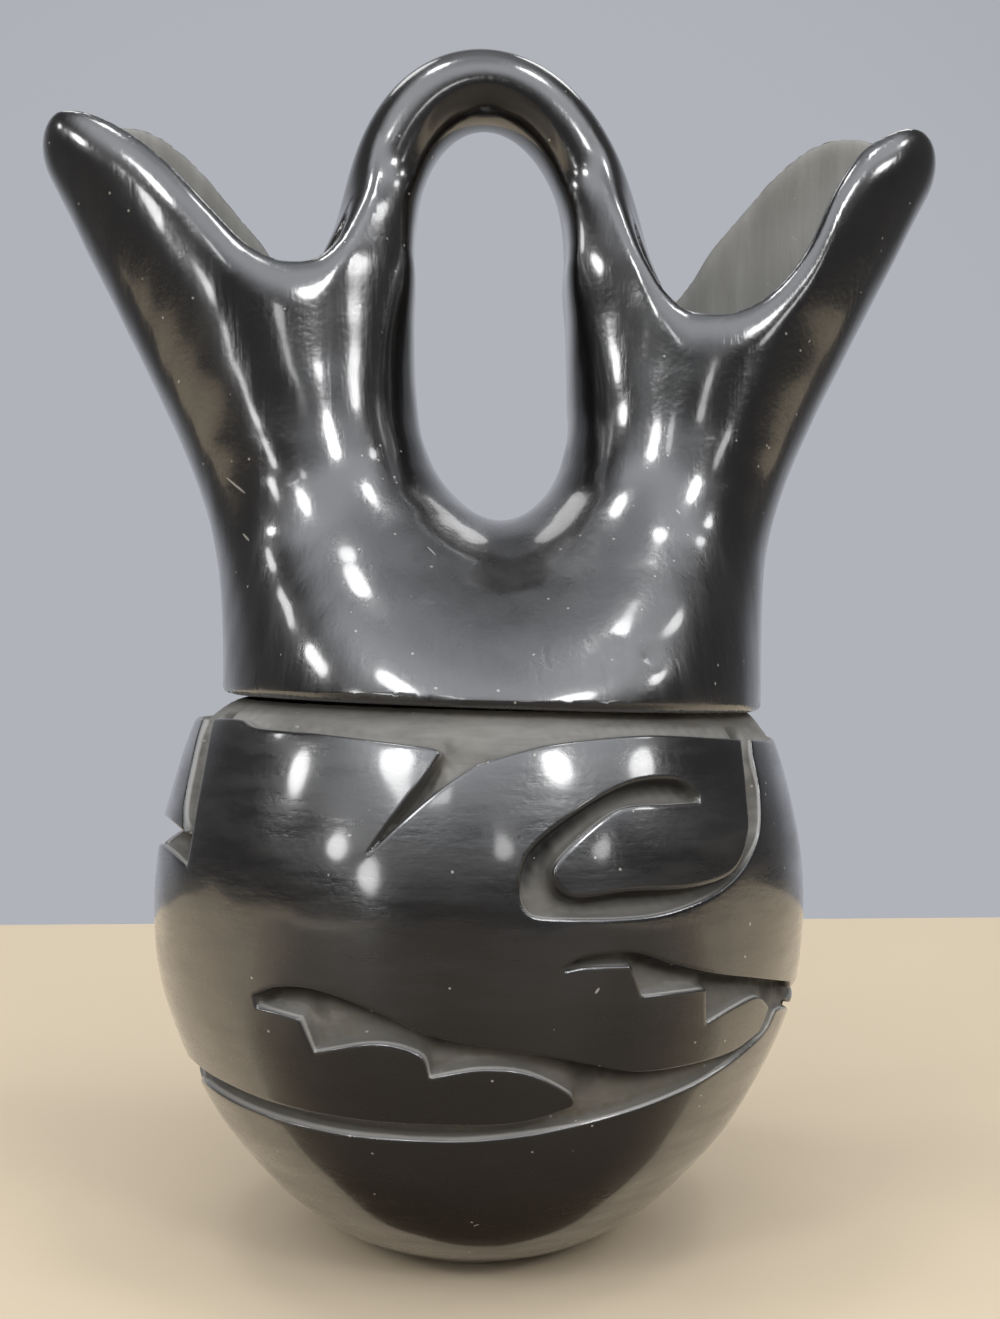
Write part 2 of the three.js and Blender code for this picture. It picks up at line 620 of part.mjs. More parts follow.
// Everything above both rims, and above them by the lift given.
function overRims(lift) {
  const columns = Array.from({ length: RIM_COLUMNS + 1 }, (_, i) => FIELD_REACH * (2 * i / RIM_COLUMNS - 1));
  const half = RIM_TWIST_DEPTH / 2;
  const inner = Array.from({ length: RIM_ROWS + 1 }, (_, i) => half * (2 * i / RIM_ROWS - 1));
  const rows = [-FIELD_DEPTH, ...inner, FIELD_DEPTH];
  const places = [];
  columns.forEach((across) => rows.forEach((y) => {
    const height = Math.min(rimHeight(across, y) + lift, FIELD_TOP + lift);
    places.push(new THREE.Vector3(across + COLLAR_OFFSET, y, height));
    places.push(new THREE.Vector3(across + COLLAR_OFFSET, y, BLOCK));
  }));
  const faces = [];
  const at = (column, row, top) => 2 * (column * rows.length + row) + top;
  const wall = (a, b, c, d) => faces.push(a, b, c, a, c, d);
  for (let i = 0; i < RIM_COLUMNS; i += 1) {
    for (let j = 0; j < rows.length - 1; j += 1) {
      wall(at(i, j, 0), at(i, j + 1, 0), at(i + 1, j + 1, 0), at(i + 1, j, 0));
      wall(at(i, j, 1), at(i + 1, j, 1), at(i + 1, j + 1, 1), at(i, j + 1, 1));
    }
    wall(at(i, 0, 0), at(i + 1, 0, 0), at(i + 1, 0, 1), at(i, 0, 1));
    wall(at(i, rows.length - 1, 0), at(i, rows.length - 1, 1), at(i + 1, rows.length - 1, 1), at(i + 1, rows.length - 1, 0));
  }
  for (let j = 0; j < rows.length - 1; j += 1) {
    wall(at(0, j, 0), at(0, j, 1), at(0, j + 1, 1), at(0, j + 1, 0));
    wall(at(RIM_COLUMNS, j, 0), at(RIM_COLUMNS, j + 1, 0), at(RIM_COLUMNS, j + 1, 1), at(RIM_COLUMNS, j, 1));
  }
  return closedSolid(places, faces);
}

// The handle's bar: two legs that spread as they go down, and an arch over them.
function makeBar() {
  const middle = HANDLE_SPAN / 2;
  const stops = [{ x: middle + LEG_SPREAD * LEG_LENGTH, z: -LEG_LENGTH, angle: 0 }];
  for (let i = 0; i <= ARCH_STEPS; i += 1) {
    const turn = Math.PI * i / ARCH_STEPS;
    const angle = Math.atan2(Math.sin(turn) / HANDLE_RISE, Math.cos(turn) / middle);
    stops.push({ x: middle * Math.cos(turn), z: HANDLE_RISE * Math.sin(turn), angle });
  }
  stops.push({ x: -stops[0].x, z: -LEG_LENGTH, angle: Math.PI });
  const places = [];
  stops.forEach(({ x, z, angle }) => {
    for (let k = 0; k < BAR_SIDES; k += 1) {
      const round = 2 * Math.PI * k / BAR_SIDES;
      const out = HANDLE_THICKNESS / 2 * Math.cos(round);
      places.push(new THREE.Vector3(COLLAR_OFFSET + HANDLE_OFFSET + x + out * Math.cos(angle),
        HANDLE_DEPTH / 2 * Math.sin(round), HANDLE_SPRING_HEIGHT + z + out * Math.sin(angle)));
    }
  });
  const faces = [];
  for (let i = 0; i < stops.length - 1; i += 1) {
    for (let k = 0; k < BAR_SIDES; k += 1) {
      const next = (k + 1) % BAR_SIDES;
      const [a, b, c, d] = [i * BAR_SIDES + k, i * BAR_SIDES + next, (i + 1) * BAR_SIDES + next, (i + 1) * BAR_SIDES + k];
      faces.push(a, b, c, a, c, d);
    }
  }
  const last = (stops.length - 1) * BAR_SIDES;
  for (let k = 1; k < BAR_SIDES - 1; k += 1) faces.push(0, k + 1, k, last, last + k, last + k + 1);
  return closedSolid(places, faces);
}

// The spouts are open down to the pot. The handle's legs end a little above the rims.
function makeUpper() {
  const low = [COLLAR_OFFSET - FIELD_REACH, -FIELD_DEPTH, LEDGE_HEIGHT - 15];
  const high = [COLLAR_OFFSET + FIELD_REACH, FIELD_DEPTH, FIELD_TOP];
  const skin = solid(wrapField(skinField, low, high, SKIN_STEP));
  const hollowLow = [low[0], low[1], low[2] - HOLLOW_STEP];
  const hollowHigh = [high[0], high[1], high[2] + 2 * HOLLOW_STEP];
  const hollow = solid(wrapField((x, y, z) => skinField(x, y, z) + SPOUT_WALL, hollowLow, hollowHigh, HOLLOW_STEP));
  const whole = skin.subtract(overRims(0)).add(makeBar());
  return whole.subtract(hollow.subtract(overRims(RIM_OVERRUN))).subtract(below(LEDGE_HEIGHT, LEAN));
}

function nodeFrom(name, body) {
  const mesh = body.getMesh();
  const geometry = new THREE.BufferGeometry();
  geometry.setAttribute('position', new THREE.Float32BufferAttribute(mesh.vertProperties, 3));
  geometry.setIndex(Array.from(mesh.triVerts));
  geometry.computeVertexNormals();
  const blackware = new THREE.MeshStandardMaterial({ color: 0x1c1d20, roughness: 0.22, metalness: 0 });
  const node = new THREE.Mesh(geometry, blackware);
  node.name = name;
  return node;
}

// Everything over the finger hole from the height given, clear of the spouts' tips.
function handleBlock(height) {
  const geometry = new THREE.BoxGeometry(2 * HANDLE_SPAN, BLOCK, BLOCK);
  geometry.translate(COLLAR_OFFSET, 0, height + BLOCK / 2);
  return solid(geometry);
}

// The bowl ends at the groove's lower edge all round. The block that takes it out of the pot is a
// ring that reaches past the belly and a slab that fills the ring's middle.
const RING_REACH = 1.5 * BELLY_RADIUS;
const SLAB_TOP = 0.3 * BELLY_HEIGHT;
function bowlBlock(gap) {
  const ring = ringCutter(BEARINGS, () => -BLOCK, (bearing) => bowlRim(bearing) + gap, RING_REACH);
  return ring.add(below(SLAB_TOP, LEAN));
}

const pot = makePot();
const upper = makeUpper();
const spouts = upper.subtract(below(SPOUT_JOINT_HEIGHT + JOINT_GAP)).subtract(handleBlock(HANDLE_JOINT_HEIGHT));

const group = new THREE.Group();
group.add(
  nodeFrom('base_bowl', pot.intersect(bowlBlock(0))),
  nodeFrom('belly_wall', pot.subtract(bowlBlock(JOINT_GAP)).subtract(makeCarving())),
  nodeFrom('shoulder', upper.intersect(below(SPOUT_JOINT_HEIGHT))),
  nodeFrom('left_spout', spouts.intersect(leftOf(-JOINT_GAP / 2))),
  nodeFrom('right_spout', spouts.subtract(leftOf(JOINT_GAP / 2))),
  nodeFrom('handle', upper.intersect(handleBlock(HANDLE_JOINT_HEIGHT + JOINT_GAP))),
);

export default group;
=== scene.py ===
import math

import bmesh
import bpy
import numpy as np
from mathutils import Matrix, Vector
from mathutils.geometry import delaunay_2d_cdt


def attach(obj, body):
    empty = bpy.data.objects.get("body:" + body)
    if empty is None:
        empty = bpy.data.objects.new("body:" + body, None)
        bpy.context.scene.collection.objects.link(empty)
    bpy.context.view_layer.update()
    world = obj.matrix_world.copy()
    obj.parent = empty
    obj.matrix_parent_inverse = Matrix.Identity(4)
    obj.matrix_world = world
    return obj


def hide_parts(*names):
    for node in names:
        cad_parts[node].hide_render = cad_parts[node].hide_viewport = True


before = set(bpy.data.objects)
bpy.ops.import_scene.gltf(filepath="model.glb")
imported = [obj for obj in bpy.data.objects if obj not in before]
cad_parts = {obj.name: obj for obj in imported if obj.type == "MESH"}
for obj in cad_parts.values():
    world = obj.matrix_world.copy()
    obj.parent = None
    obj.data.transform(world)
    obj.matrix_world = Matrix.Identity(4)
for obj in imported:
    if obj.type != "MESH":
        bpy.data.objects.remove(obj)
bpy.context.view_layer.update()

# CAMERA
# The vase is seen level from the front, a little from its left, from about 300 mm away.
# Lengths below are in millimetres, and MM turns them into metres.
MM = 0.001
VIEW_DISTANCE = 300
VIEW_HEIGHT = 113.5
VIEW_OFFSET = -6.4
VIEW_TURN = math.radians(-2.5)
LENS_MM = 40.94
SENSOR_MM = 36

camera_data = bpy.data.cameras.new("camera")
camera_data.lens = LENS_MM
camera_data.sensor_width = SENSOR_MM
camera_data.clip_start = 0.01
camera = bpy.data.objects.new("camera", camera_data)
camera.rotation_euler = (math.radians(90), 0, VIEW_TURN)
camera.location = Vector((
    -VIEW_OFFSET * math.cos(VIEW_TURN) + VIEW_DISTANCE * math.sin(VIEW_TURN),
    -VIEW_OFFSET * math.sin(VIEW_TURN) - VIEW_DISTANCE * math.cos(VIEW_TURN),
    VIEW_HEIGHT,
)) * MM
bpy.context.collection.objects.link(camera)
bpy.context.scene.camera = camera
bpy.context.scene.view_settings.view_transform = "Standard"

# TABLE
# A plain pale table top, painted matte. Its far edge shows a little way behind the vase.
TABLE_HALF_LENGTH = 1.6
TABLE_FRONT = -1.6
TABLE_BACK = 0.35
TABLE_COLOUR = (0.83, 0.69, 0.50, 1)
TABLE_ROUGHNESS = 0.9
TABLE_SHINE = 0.1


def new_material(name):
    material = bpy.data.materials.new(name)
    material.use_nodes = True
    return material, material.node_tree, material.node_tree.nodes["Principled BSDF"]


def level_sheet(name, half_length, front, back, height, material):
    """A flat, level rectangle, with its middle in front of or behind the vase."""
    mesh = bpy.data.meshes.new(name)
    mesh.from_pydata(
        [(-half_length, front, height), (half_length, front, height),
         (half_length, back, height), (-half_length, back, height)],
        [], [(0, 1, 2, 3)])
    mesh.materials.append(material)
    sheet = bpy.data.objects.new(name, mesh)
    bpy.context.collection.objects.link(sheet)
    return sheet


table_material, _, shader = new_material("pale_table")
shader.inputs["Base Color"].default_value = TABLE_COLOUR
shader.inputs["Roughness"].default_value = TABLE_ROUGHNESS
shader.inputs["Specular IOR Level"].default_value = TABLE_SHINE
table = level_sheet("table", TABLE_HALF_LENGTH, TABLE_FRONT, TABLE_BACK, 0, table_material)

# ROOM AND LAMPS
# A room with a grey wall under a pale ceiling, which starts low in front of the vase and high behind
# it. Small round lamps show as glints on the clay. Where a part of the room starts or ends is the sine
# of an angle: back from the side for the walls, and up from the level for the ceiling.
WALL_COLOUR = (0.435, 0.450, 0.490, 1)
FAR_WALL_COLOUR = (0.09, 0.09, 0.095, 1)
FAR_WALL_ENDS = 0.45
WALL_STARTS = 0.94
CEILING_COLOUR = (1.60, 1.65, 1.74, 1)
OVERHEAD_COLOUR = (0.84, 0.87, 0.93, 1)
OVERHEAD_STARTS = 0.76
CEILING_START_FRONT = 0.44
CEILING_START_BEHIND = 1.0
FRONT_ENDS = -0.6
BEHIND_STARTS = 0.2
CEILING_SOFTNESS = 0.22
LAMP_DISTANCE = 1.2
LAMP_BRIGHTNESS = 12
LAMPS = [
    # bearing and height in degrees as seen from the vase, width, and brightness beside the others
    (-73, 22, 0.17, 1), (-50, 13, 0.15, 0.8), (-38, 7, 0.13, 0.7), (-34, 31, 0.24, 0.9),
    (-17, 26, 0.12, 0.4), (7, 15, 0.13, 0.4), (27, 29, 0.24, 1), (61, 24, 0.18, 0.8),
    (38, 12, 0.13, 0.4), (-90, 28, 0.13, 0.6), (71, 40, 0.16, 0.6), (-65, 72, 0.22, 0.8),
    (46, 63, 0.22, 0.8), (152, 50, 0.34, 0.16), (-146, 54, 0.34, 0.16),
]


def add_node(tree, kind, inputs, **settings):
    """Adds a node. Each input is a value, or the output of another node."""
    node = tree.nodes.new("ShaderNode" + kind)
    for key, value in settings.items():
        setattr(node, key, value)
    for key, value in inputs.items():
        if isinstance(value, bpy.types.NodeSocket):
            tree.links.new(value, node.inputs[key])
        else:
            node.inputs[key].default_value = value
    return node


def maths(tree, operation, *terms):
    return add_node(tree, "Math", dict(enumerate(terms)), operation=operation).outputs["Value"]


def ranged(tree, value, low, high, start=0, end=1, kind="LINEAR"):
    """Goes from the start to the end while the value goes from low to high."""
    inputs = {"Value": value, "From Min": low, "From Max": high, "To Min": start, "To Max": end}
    return add_node(tree, "MapRange", inputs, interpolation_type=kind).outputs["Result"]


def mixed(tree, share, one, two, kind="RGBA"):
    return add_node(tree, "Mix", {"Factor": share, "A": one, "B": two}, data_type=kind).outputs["Result"]


world = bpy.data.worlds.new("room")
bpy.context.scene.world = world
world.use_nodes = True
tree = world.node_tree
way_out = add_node(tree, "TexCoord", {}).outputs["Generated"]
way_out = add_node(tree, "SeparateXYZ", {"Vector": way_out}).outputs
ceiling_start = ranged(
    tree, way_out["Y"], FRONT_ENDS, BEHIND_STARTS, CEILING_START_FRONT, CEILING_START_BEHIND, "SMOOTHSTEP")
over_start = maths(tree, "SUBTRACT", way_out["Z"], ceiling_start)
in_ceiling = ranged(tree, over_start, -CEILING_SOFTNESS, CEILING_SOFTNESS, kind="SMOOTHSTEP")
behind = ranged(tree, way_out["Y"], FAR_WALL_ENDS, WALL_STARTS, kind="SMOOTHSTEP")
overhead = ranged(tree, way_out["Z"], OVERHEAD_STARTS, 1, kind="SMOOTHSTEP")
walls = mixed(tree, behind, FAR_WALL_COLOUR, WALL_COLOUR)
ceiling = mixed(tree, overhead, CEILING_COLOUR, OVERHEAD_COLOUR)
tree.links.new(mixed(tree, in_ceiling, walls, ceiling), tree.nodes["Background"].inputs["Color"])

LIT_POINT = Vector((0, 0, 0.12))
for number, (bearing, height, width, brightness) in enumerate(LAMPS, 1):
    light = bpy.data.lights.new(f"lamp_{number}", "AREA")
    light.shape = "DISK"
    light.size = width
    light.energy = LAMP_BRIGHTNESS * brightness * (math.pi * width / 2) ** 2
    lamp = bpy.data.objects.new(f"lamp_{number}", light)
    turn, lift = math.radians(bearing), math.radians(height)
    away = Vector((math.sin(turn) * math.cos(lift), -math.cos(turn) * math.cos(lift), math.sin(lift)))
    lamp.location = LIT_POINT + away * LAMP_DISTANCE
    lamp.rotation_euler = away.to_track_quat("Z", "Y").to_euler()
    lamp.visible_camera = False
    bpy.context.collection.objects.link(lamp)

# PAINTED SHADE CARD
# A card on the table in front of the vase that shows only in the clay, as painted shade: it stands in for
# the shade on the table in front of the pot, and keeps the lower front of the pot dark in its reflection.
# It is dark straight in front and takes on the table's colour towards its sides. A slope is how far to the
# side a place is for each metre in front.
CARD_HALF_LENGTH = 0.7
CARD_BACK = -0.03
CARD_HEIGHT = 0.0005
CARD_DARK_SLOPE = 0.6
CARD_PALE_SLOPE = 4.5
CARD_SHADE_COLOUR = (0.11, 0.08, 0.05, 1)

card_material, tree, shader = new_material("shade_card")
place = add_node(tree, "TexCoord", {}).outputs["Object"]
place = add_node(tree, "SeparateXYZ", {"Vector": place}).outputs
slope = maths(tree, "ABSOLUTE", maths(tree, "DIVIDE", place["X"], place["Y"]))
fade = ranged(tree, slope, CARD_DARK_SLOPE, CARD_PALE_SLOPE, kind="SMOOTHSTEP")
tree.links.new(mixed(tree, fade, CARD_SHADE_COLOUR, TABLE_COLOUR), shader.inputs["Base Color"])
card = level_sheet("shade_card", CARD_HALF_LENGTH, TABLE_FRONT, CARD_BACK, CARD_HEIGHT, card_material)
card.visible_camera = False
card.visible_diffuse = False
card.visible_shadow = False

# BASE BOWL AND BELLY WALL
# The round pot, of blackened clay built up with coils on a small flat foot, burnished with a stone and
# carved while leather hard. The bowl ends at the groove. The ground between the raised forms is scraped
# and left matte. One skin is worked out unrolled flat, and is parted into the bowl and the wall.
FOOT_RADIUS = 18.5
BELLY_RADIUS = 63.6
BELLY_HEIGHT = 66
LEDGE_RADIUS = 54.8
LEDGE_HEIGHT = 105.3
LEAN = math.radians(2)
POT_WALL = 7
WRAP_ROUNDS = 30
PROBE = 0.2
# Up the side of the pot: a height, and the radius there.
SIDE = [
    (0, FOOT_RADIUS), (5, FOOT_RADIUS + 10.5), (10, FOOT_RADIUS + 17.5), (20, BELLY_RADIUS - 17.8),
    (38, BELLY_RADIUS - 6.6), (BELLY_HEIGHT - 13, BELLY_RADIUS - 1.3), (BELLY_HEIGHT, BELLY_RADIUS),
    (BELLY_HEIGHT + 14, BELLY_RADIUS - 1.1), (LEDGE_HEIGHT - 14.3, LEDGE_RADIUS + 5.1),
    (LEDGE_HEIGHT - 7.3, LEDGE_RADIUS + 2.9), (LEDGE_HEIGHT, LEDGE_RADIUS),
]


def smooth_line(stations, at):
    """Reads a smooth line through the stations at the places given."""
    places, values = np.array(stations, float).T
    steps = np.diff(places)
    rises = np.diff(values) / steps
    slopes = np.empty(len(values))
    slopes[0], slopes[-1] = rises[0], rises[-1]
    slopes[1:-1] = (rises[:-1] * steps[1:] + rises[1:] * steps[:-1]) / (places[2:] - places[:-2])
    i = np.clip(np.searchsorted(places, at) - 1, 0, len(steps) - 1)
    free = (at - places[i]) / steps[i]
    t = np.clip(free, 0, 1)
    line = values[i] * (1 + 2 * t) * (1 - t) ** 2 + steps[i] * slopes[i] * t * (1 - t) ** 2
    line += values[i + 1] * t * t * (3 - 2 * t) + steps[i] * slopes[i + 1] * t * t * (t - 1)
    return line + np.minimum(free, 0) * steps[i] * slopes[0] + np.maximum(free - 1, 0) * steps[i] * slopes[-1]


# The pot's skin is unrolled flat: along it the bearing at this radius, up it the way along the side.
UNROLL_RADIUS = 60
HALF_TURN = math.pi * UNROLL_RADIUS
PAST_ENDS = 1.8
PROFILE_STEP = 0.1
PROFILE_HEIGHTS = np.arange(-PAST_ENDS, LEDGE_HEIGHT + PAST_ENDS, PROFILE_STEP)
profile_radii = smooth_line(SIDE, PROFILE_HEIGHTS)
profile_ways = np.concatenate([[0], np.cumsum(np.hypot(np.diff(profile_radii), np.diff(PROFILE_HEIGHTS)))])
TOP_WAY = profile_ways[-1]


def handwork(x, y, z):
    """The slight unevenness that rubbing with a stone leaves in the skin."""
    waves = 0.55 * np.sin(0.21 * x + 0.13 * y + 0.9) * np.sin(0.17 * z - 0.4)
    waves += 0.35 * np.sin(0.37 * z + 0.11 * x + 2.1) * np.sin(0.29 * y - 0.23 * x)
    waves += 0.20 * np.sin(0.53 * x - 0.31 * z + 0.7) * np.sin(0.47 * y + 0.19 * z)
    return waves


def side_slope(height):
    """How fast the pot's radius grows with its height."""
    return (smooth_line(SIDE, height + PROBE) - smooth_line(SIDE, height - PROBE)) / (2 * PROBE)


def pot_points(along, way, depth):
    """Carries places on the unrolled skin, sunk by a depth, to points on the leaning pot."""
    height = np.interp(way, profile_ways, PROFILE_HEIGHTS)
    radius = smooth_line(SIDE, height)
    slope = side_slope(height)
    length = np.hypot(slope, 1)
    radius = radius - depth / length
    height = height + depth * slope / length
    bearing = along / UNROLL_RADIUS
    x, y = radius * np.sin(bearing), -radius * np.cos(bearing)
    points = np.stack([
        x * math.cos(LEAN) + height * math.sin(LEAN), y, height * math.cos(LEAN) - x * math.sin(LEAN)], 1)
    points[:, 2] = np.maximum(points[:, 2], 0)
    return points


def wrapped(points):
    """Carries points drawn on the front elevation to the unrolled skin."""
    across, up = np.array(points, float).T
    depth = np.full(len(across), -float(BELLY_RADIUS))
    for _ in range(WRAP_ROUNDS):
        share = (VIEW_DISTANCE + depth) / VIEW_DISTANCE
        x = -VIEW_OFFSET + (across + VIEW_OFFSET) * share
        z = VIEW_HEIGHT + (up - VIEW_HEIGHT) * share
        x, z = x * math.cos(LEAN) - z * math.sin(LEAN), x * math.sin(LEAN) + z * math.cos(LEAN)
        radius = smooth_line(SIDE, np.clip(z, 0, LEDGE_HEIGHT))
        depth = -np.sqrt(np.maximum(radius ** 2 - x ** 2, 0))
    bearing = np.arctan2(x, -depth) + VIEW_TURN
    return np.stack([bearing * UNROLL_RADIUS, np.interp(z, PROFILE_HEIGHTS, profile_ways)], 1)


def drawn(stretches, steps=8):
    """A smooth line through the points of each stretch. The next stretch goes on from its end, a corner."""
    line, corner = [], []
    for stretch in stretches:
        points = np.array(corner + stretch, float)
        corner = stretch[-1:]
        before = np.concatenate([points[:1], points[:-2]])
        after = np.concatenate([points[2:], points[-1:]])
        for i in range(len(points) - 1):
            start, end = points[i], points[i + 1]
            leave, arrive = (end - before[i]) / 2, (after[i] - start) / 2
            if len(points) == 2:
                leave = arrive = end - start
            for t in np.arange(steps) / steps:
                line.append(start * (1 + 2 * t) * (1 - t) ** 2 + leave * t * (1 - t) ** 2
                            + end * t * t * (3 - 2 * t) + arrive * t * t * (t - 1))
        line.append(points[-1])
    return np.array(line)


def ring_line(stretches):
    """The way up the skin against the bearing for a line drawn on the front. The back mirrors it."""
    front = wrapped(drawn(stretches))
    front = front[np.argsort(front[:, 0])]

    def way(along):
        turned = (along + HALF_TURN) % (2 * HALF_TURN) - HALF_TURN
        mirrored = np.sign(turned) * HALF_TURN - turned
        in_front = np.where(np.abs(turned) <= HALF_TURN / 2, turned, mirrored)
        return np.interp(in_front, front[:, 0], front[:, 1])
    return way


bowl_rim = ring_line([
    [(-59.6, 37.6), (-53.8, 29.4), (-43.3, 23), (-27.4, 18.6), (-9.8, 16.8), (6.4, 17.2), (26.4, 21),
     (45.2, 28), (58.2, 37.2), (61.8, 43)],
])

# The carving, as outlines drawn on the front elevation.
panel_tops = ring_line([
    [(-54.4, 101.8), (-46.2, 101.6), (-42.2, 99.8), (-30.4, 98.7), (-15.2, 96.8), (-6.8, 95.6), (-5.4, 94.4)],
    [(1.8, 92.4)],
    [(10.4, 95), (18.4, 96.7), (34.6, 98.3), (49.6, 97.8), (60.6, 97.2)],
])
groove_top = ring_line([
    [(-59.8, 39.4), (-53.8, 31.8), (-41, 25.2), (-24.6, 21.4), (-7, 20), (10, 20.4), (22, 24)],
    [(22.7, 32.5)],
    [(33.4, 30.7), (43.2, 31.8), (52.8, 34.8), (58.6, 39)],
    [(60.6, 44.2), (61.5, 48.9)],
])
GOUGE = [
    [(-5, 95.6), (-8.8, 89.8), (-12.8, 84.6), (-20.2, 74.6)],
    [(-12.8, 81.6), (-5.8, 87.4), (1.8, 92.4), (6.4, 94.4)],
    [(-5, 95.6)],
]
HOOK = [
    [(56.8, 100), (57, 95), (58.6, 86), (58.1, 77.4), (53.8, 69.9), (46.8, 65.1), (35.6, 61.9), (18.4, 61.4),
     (12.1, 62.5), (10.4, 67.8), (12.6, 75.2), (21.7, 82.8), (32.4, 88.6), (42, 89.5), (46.4, 86.2)],
    [(46.4, 84.9)],
    [(39.9, 84.4), (30.8, 83.6), (22.8, 78), (17.1, 71), (21.2, 65.9), (32.4, 67), (45.2, 67.8),
     (53.3, 71), (56.2, 78.4), (56, 86), (54.6, 100)],
    [(56.8, 100)],
]
SIDE_CHANNEL = [
    [(-50.5, 103.5), (-51.8, 98.6), (-53.9, 86.8), (-56.5, 72.2)],
    [(-62, 76.9), (-64, 77)],
    [(-64, 83)],
    [(-60.9, 82.2), (-56.8, 78.7)],
    [(-56.8, 85.1), (-54.5, 96.8), (-52.5, 103.5)],
    [(-50.5, 103.5)],
]
RIGHT_STEPS = [
    [(19.2, 51.4), (23.8, 53.8), (33.5, 54.6), (41, 52.5), (49.5, 50.5), (58.6, 49.5), (64.4, 48.9)],
    [(64.4, 43.5)],
    [(60.5, 43.8)],
    [(58.1, 45.8), (53.3, 43.6), (47.9, 40.4)],
    [(47.9, 47.4)],
    [(35, 45.8)],
    [(32.9, 52)],
    [(23.8, 51.7), (19.5, 50.9)],
    [(19.2, 51.4)],
]
LEFT_STEPS = [
    [(-43, 46), (-38.6, 47.7), (-30.4, 47), (-18.6, 42.6), (-7, 37.6), (6.4, 35.2), (22.8, 32.4), (29, 30.8)],
    [(29, 23.5)],
    [(21.2, 22.5)],
    [(20.6, 26), (12, 30.2), (2.4, 31), (-7.8, 29.4)],
    [(-9.8, 34), (-18.6, 36.3), (-31, 34.6)],
    [(-34, 41.4)],
    [(-42.4, 43.7)],
    [(-43, 46)],
]

# Each carved ground as a closed outline on the unrolled skin, front and back. Outlines that run past
# the edge of the elevation go on a little round the side, where they meet their mirror image.
EDGE_BEARING = math.radians(89)
SIDE_BEARING = math.radians(91.5)
RING_OVERLAP = 12
RING_POINTS = 500
ring_end = HALF_TURN + RING_OVERLAP
ring_along = np.linspace(-ring_end, ring_end, RING_POINTS)
grounds = [
    np.concatenate([
        np.stack([ring_along, panel_tops(ring_along)], 1),
        [(ring_end, TOP_WAY + RING_OVERLAP), (-ring_end, TOP_WAY + RING_OVERLAP)]]),
    np.concatenate([
        np.stack([ring_along, bowl_rim(ring_along)], 1),
        np.stack([ring_along, groove_top(ring_along)], 1)[::-1]]),
]
for outline in [GOUGE, HOOK, SIDE_CHANNEL, RIGHT_STEPS, LEFT_STEPS]:
    front = wrapped(drawn(outline))
    past_side = np.abs(front[:, 0] / UNROLL_RADIUS) > EDGE_BEARING + VIEW_TURN
    front[past_side, 0] = np.sign(front[past_side, 0]) * SIDE_BEARING * UNROLL_RADIUS
    back = front * (-1, 1) + (HALF_TURN, 0)
    grounds += [front, back, back - (2 * HALF_TURN, 0)]

# How far each place on the skin is inside the carved ground, sampled on a fine grid.
EDGE_REACH = 4
GRID_STEP = 0.4
columns = np.linspace(-HALF_TURN, HALF_TURN, round(2 * HALF_TURN / GRID_STEP) + 1)
rows = np.linspace(0, TOP_WAY, round(TOP_WAY / GRID_STEP) + 1)
column_step, row_step = columns[1] - columns[0], rows[1] - rows[0]
grid_start, grid_steps = (columns[0], 0), (column_step, row_step)
inward = np.full((len(columns), len(rows)), -float(EDGE_REACH))
for outline in grounds:
    flips = np.zeros((len(columns), len(rows) + 1), int)
    near = np.full(inward.shape, float(EDGE_REACH))
    for start, end in zip(outline, np.roll(outline, -1, 0)):
        low, high = np.minimum(start, end), np.maximum(start, end)
        first, last = np.ceil((np.array([low[0], high[0]]) - columns[0]) / column_step).astype(int)
        crossed = np.arange(max(first, 0), min(last, len(columns)))
        if len(crossed):
            share = (columns[crossed] - start[0]) / (end[0] - start[0])
            row = np.ceil((start[1] + share * (end[1] - start[1])) / row_step).astype(int)
            np.add.at(flips, (crossed, np.clip(row, 0, len(rows))), 1)
        before = (low - EDGE_REACH - grid_start) / grid_steps
        after = (high + EDGE_REACH - grid_start) / grid_steps + 1
        (i0, j0), (i1, j1) = np.clip([before, after], 0, inward.shape).astype(int)
        if i0 >= i1 or j0 >= j1:
            continue
        du = columns[i0:i1, None] - start[0]
        dv = rows[None, j0:j1] - start[1]
        run = end - start
        share = np.clip((du * run[0] + dv * run[1]) / max(run @ run, 1e-9), 0, 1)
        away = np.hypot(du - share * run[0], dv - share * run[1])
        near[i0:i1, j0:j1] = np.minimum(near[i0:i1, j0:j1], away)
    inside = np.cumsum(flips, 1)[:, :-1] % 2 == 1
    inward = np.maximum(inward, np.where(inside, near, -near))


def grid_at(grid, along, way):
    """Reads a grid of the skin between its rows and columns."""
    i = np.clip((along - columns[0]) / column_step, 0, len(columns) - 1.001)
    j = np.clip(way / row_step, 0, len(rows) - 1.001)
    a, b = i.astype(int), j.astype(int)
    s, t = i - a, j - b
    return ((grid[a, b] * (1 - s) + grid[a + 1, b] * s) * (1 - t)
            + (grid[a, b + 1] * (1 - s) + grid[a + 1, b + 1] * s) * t)


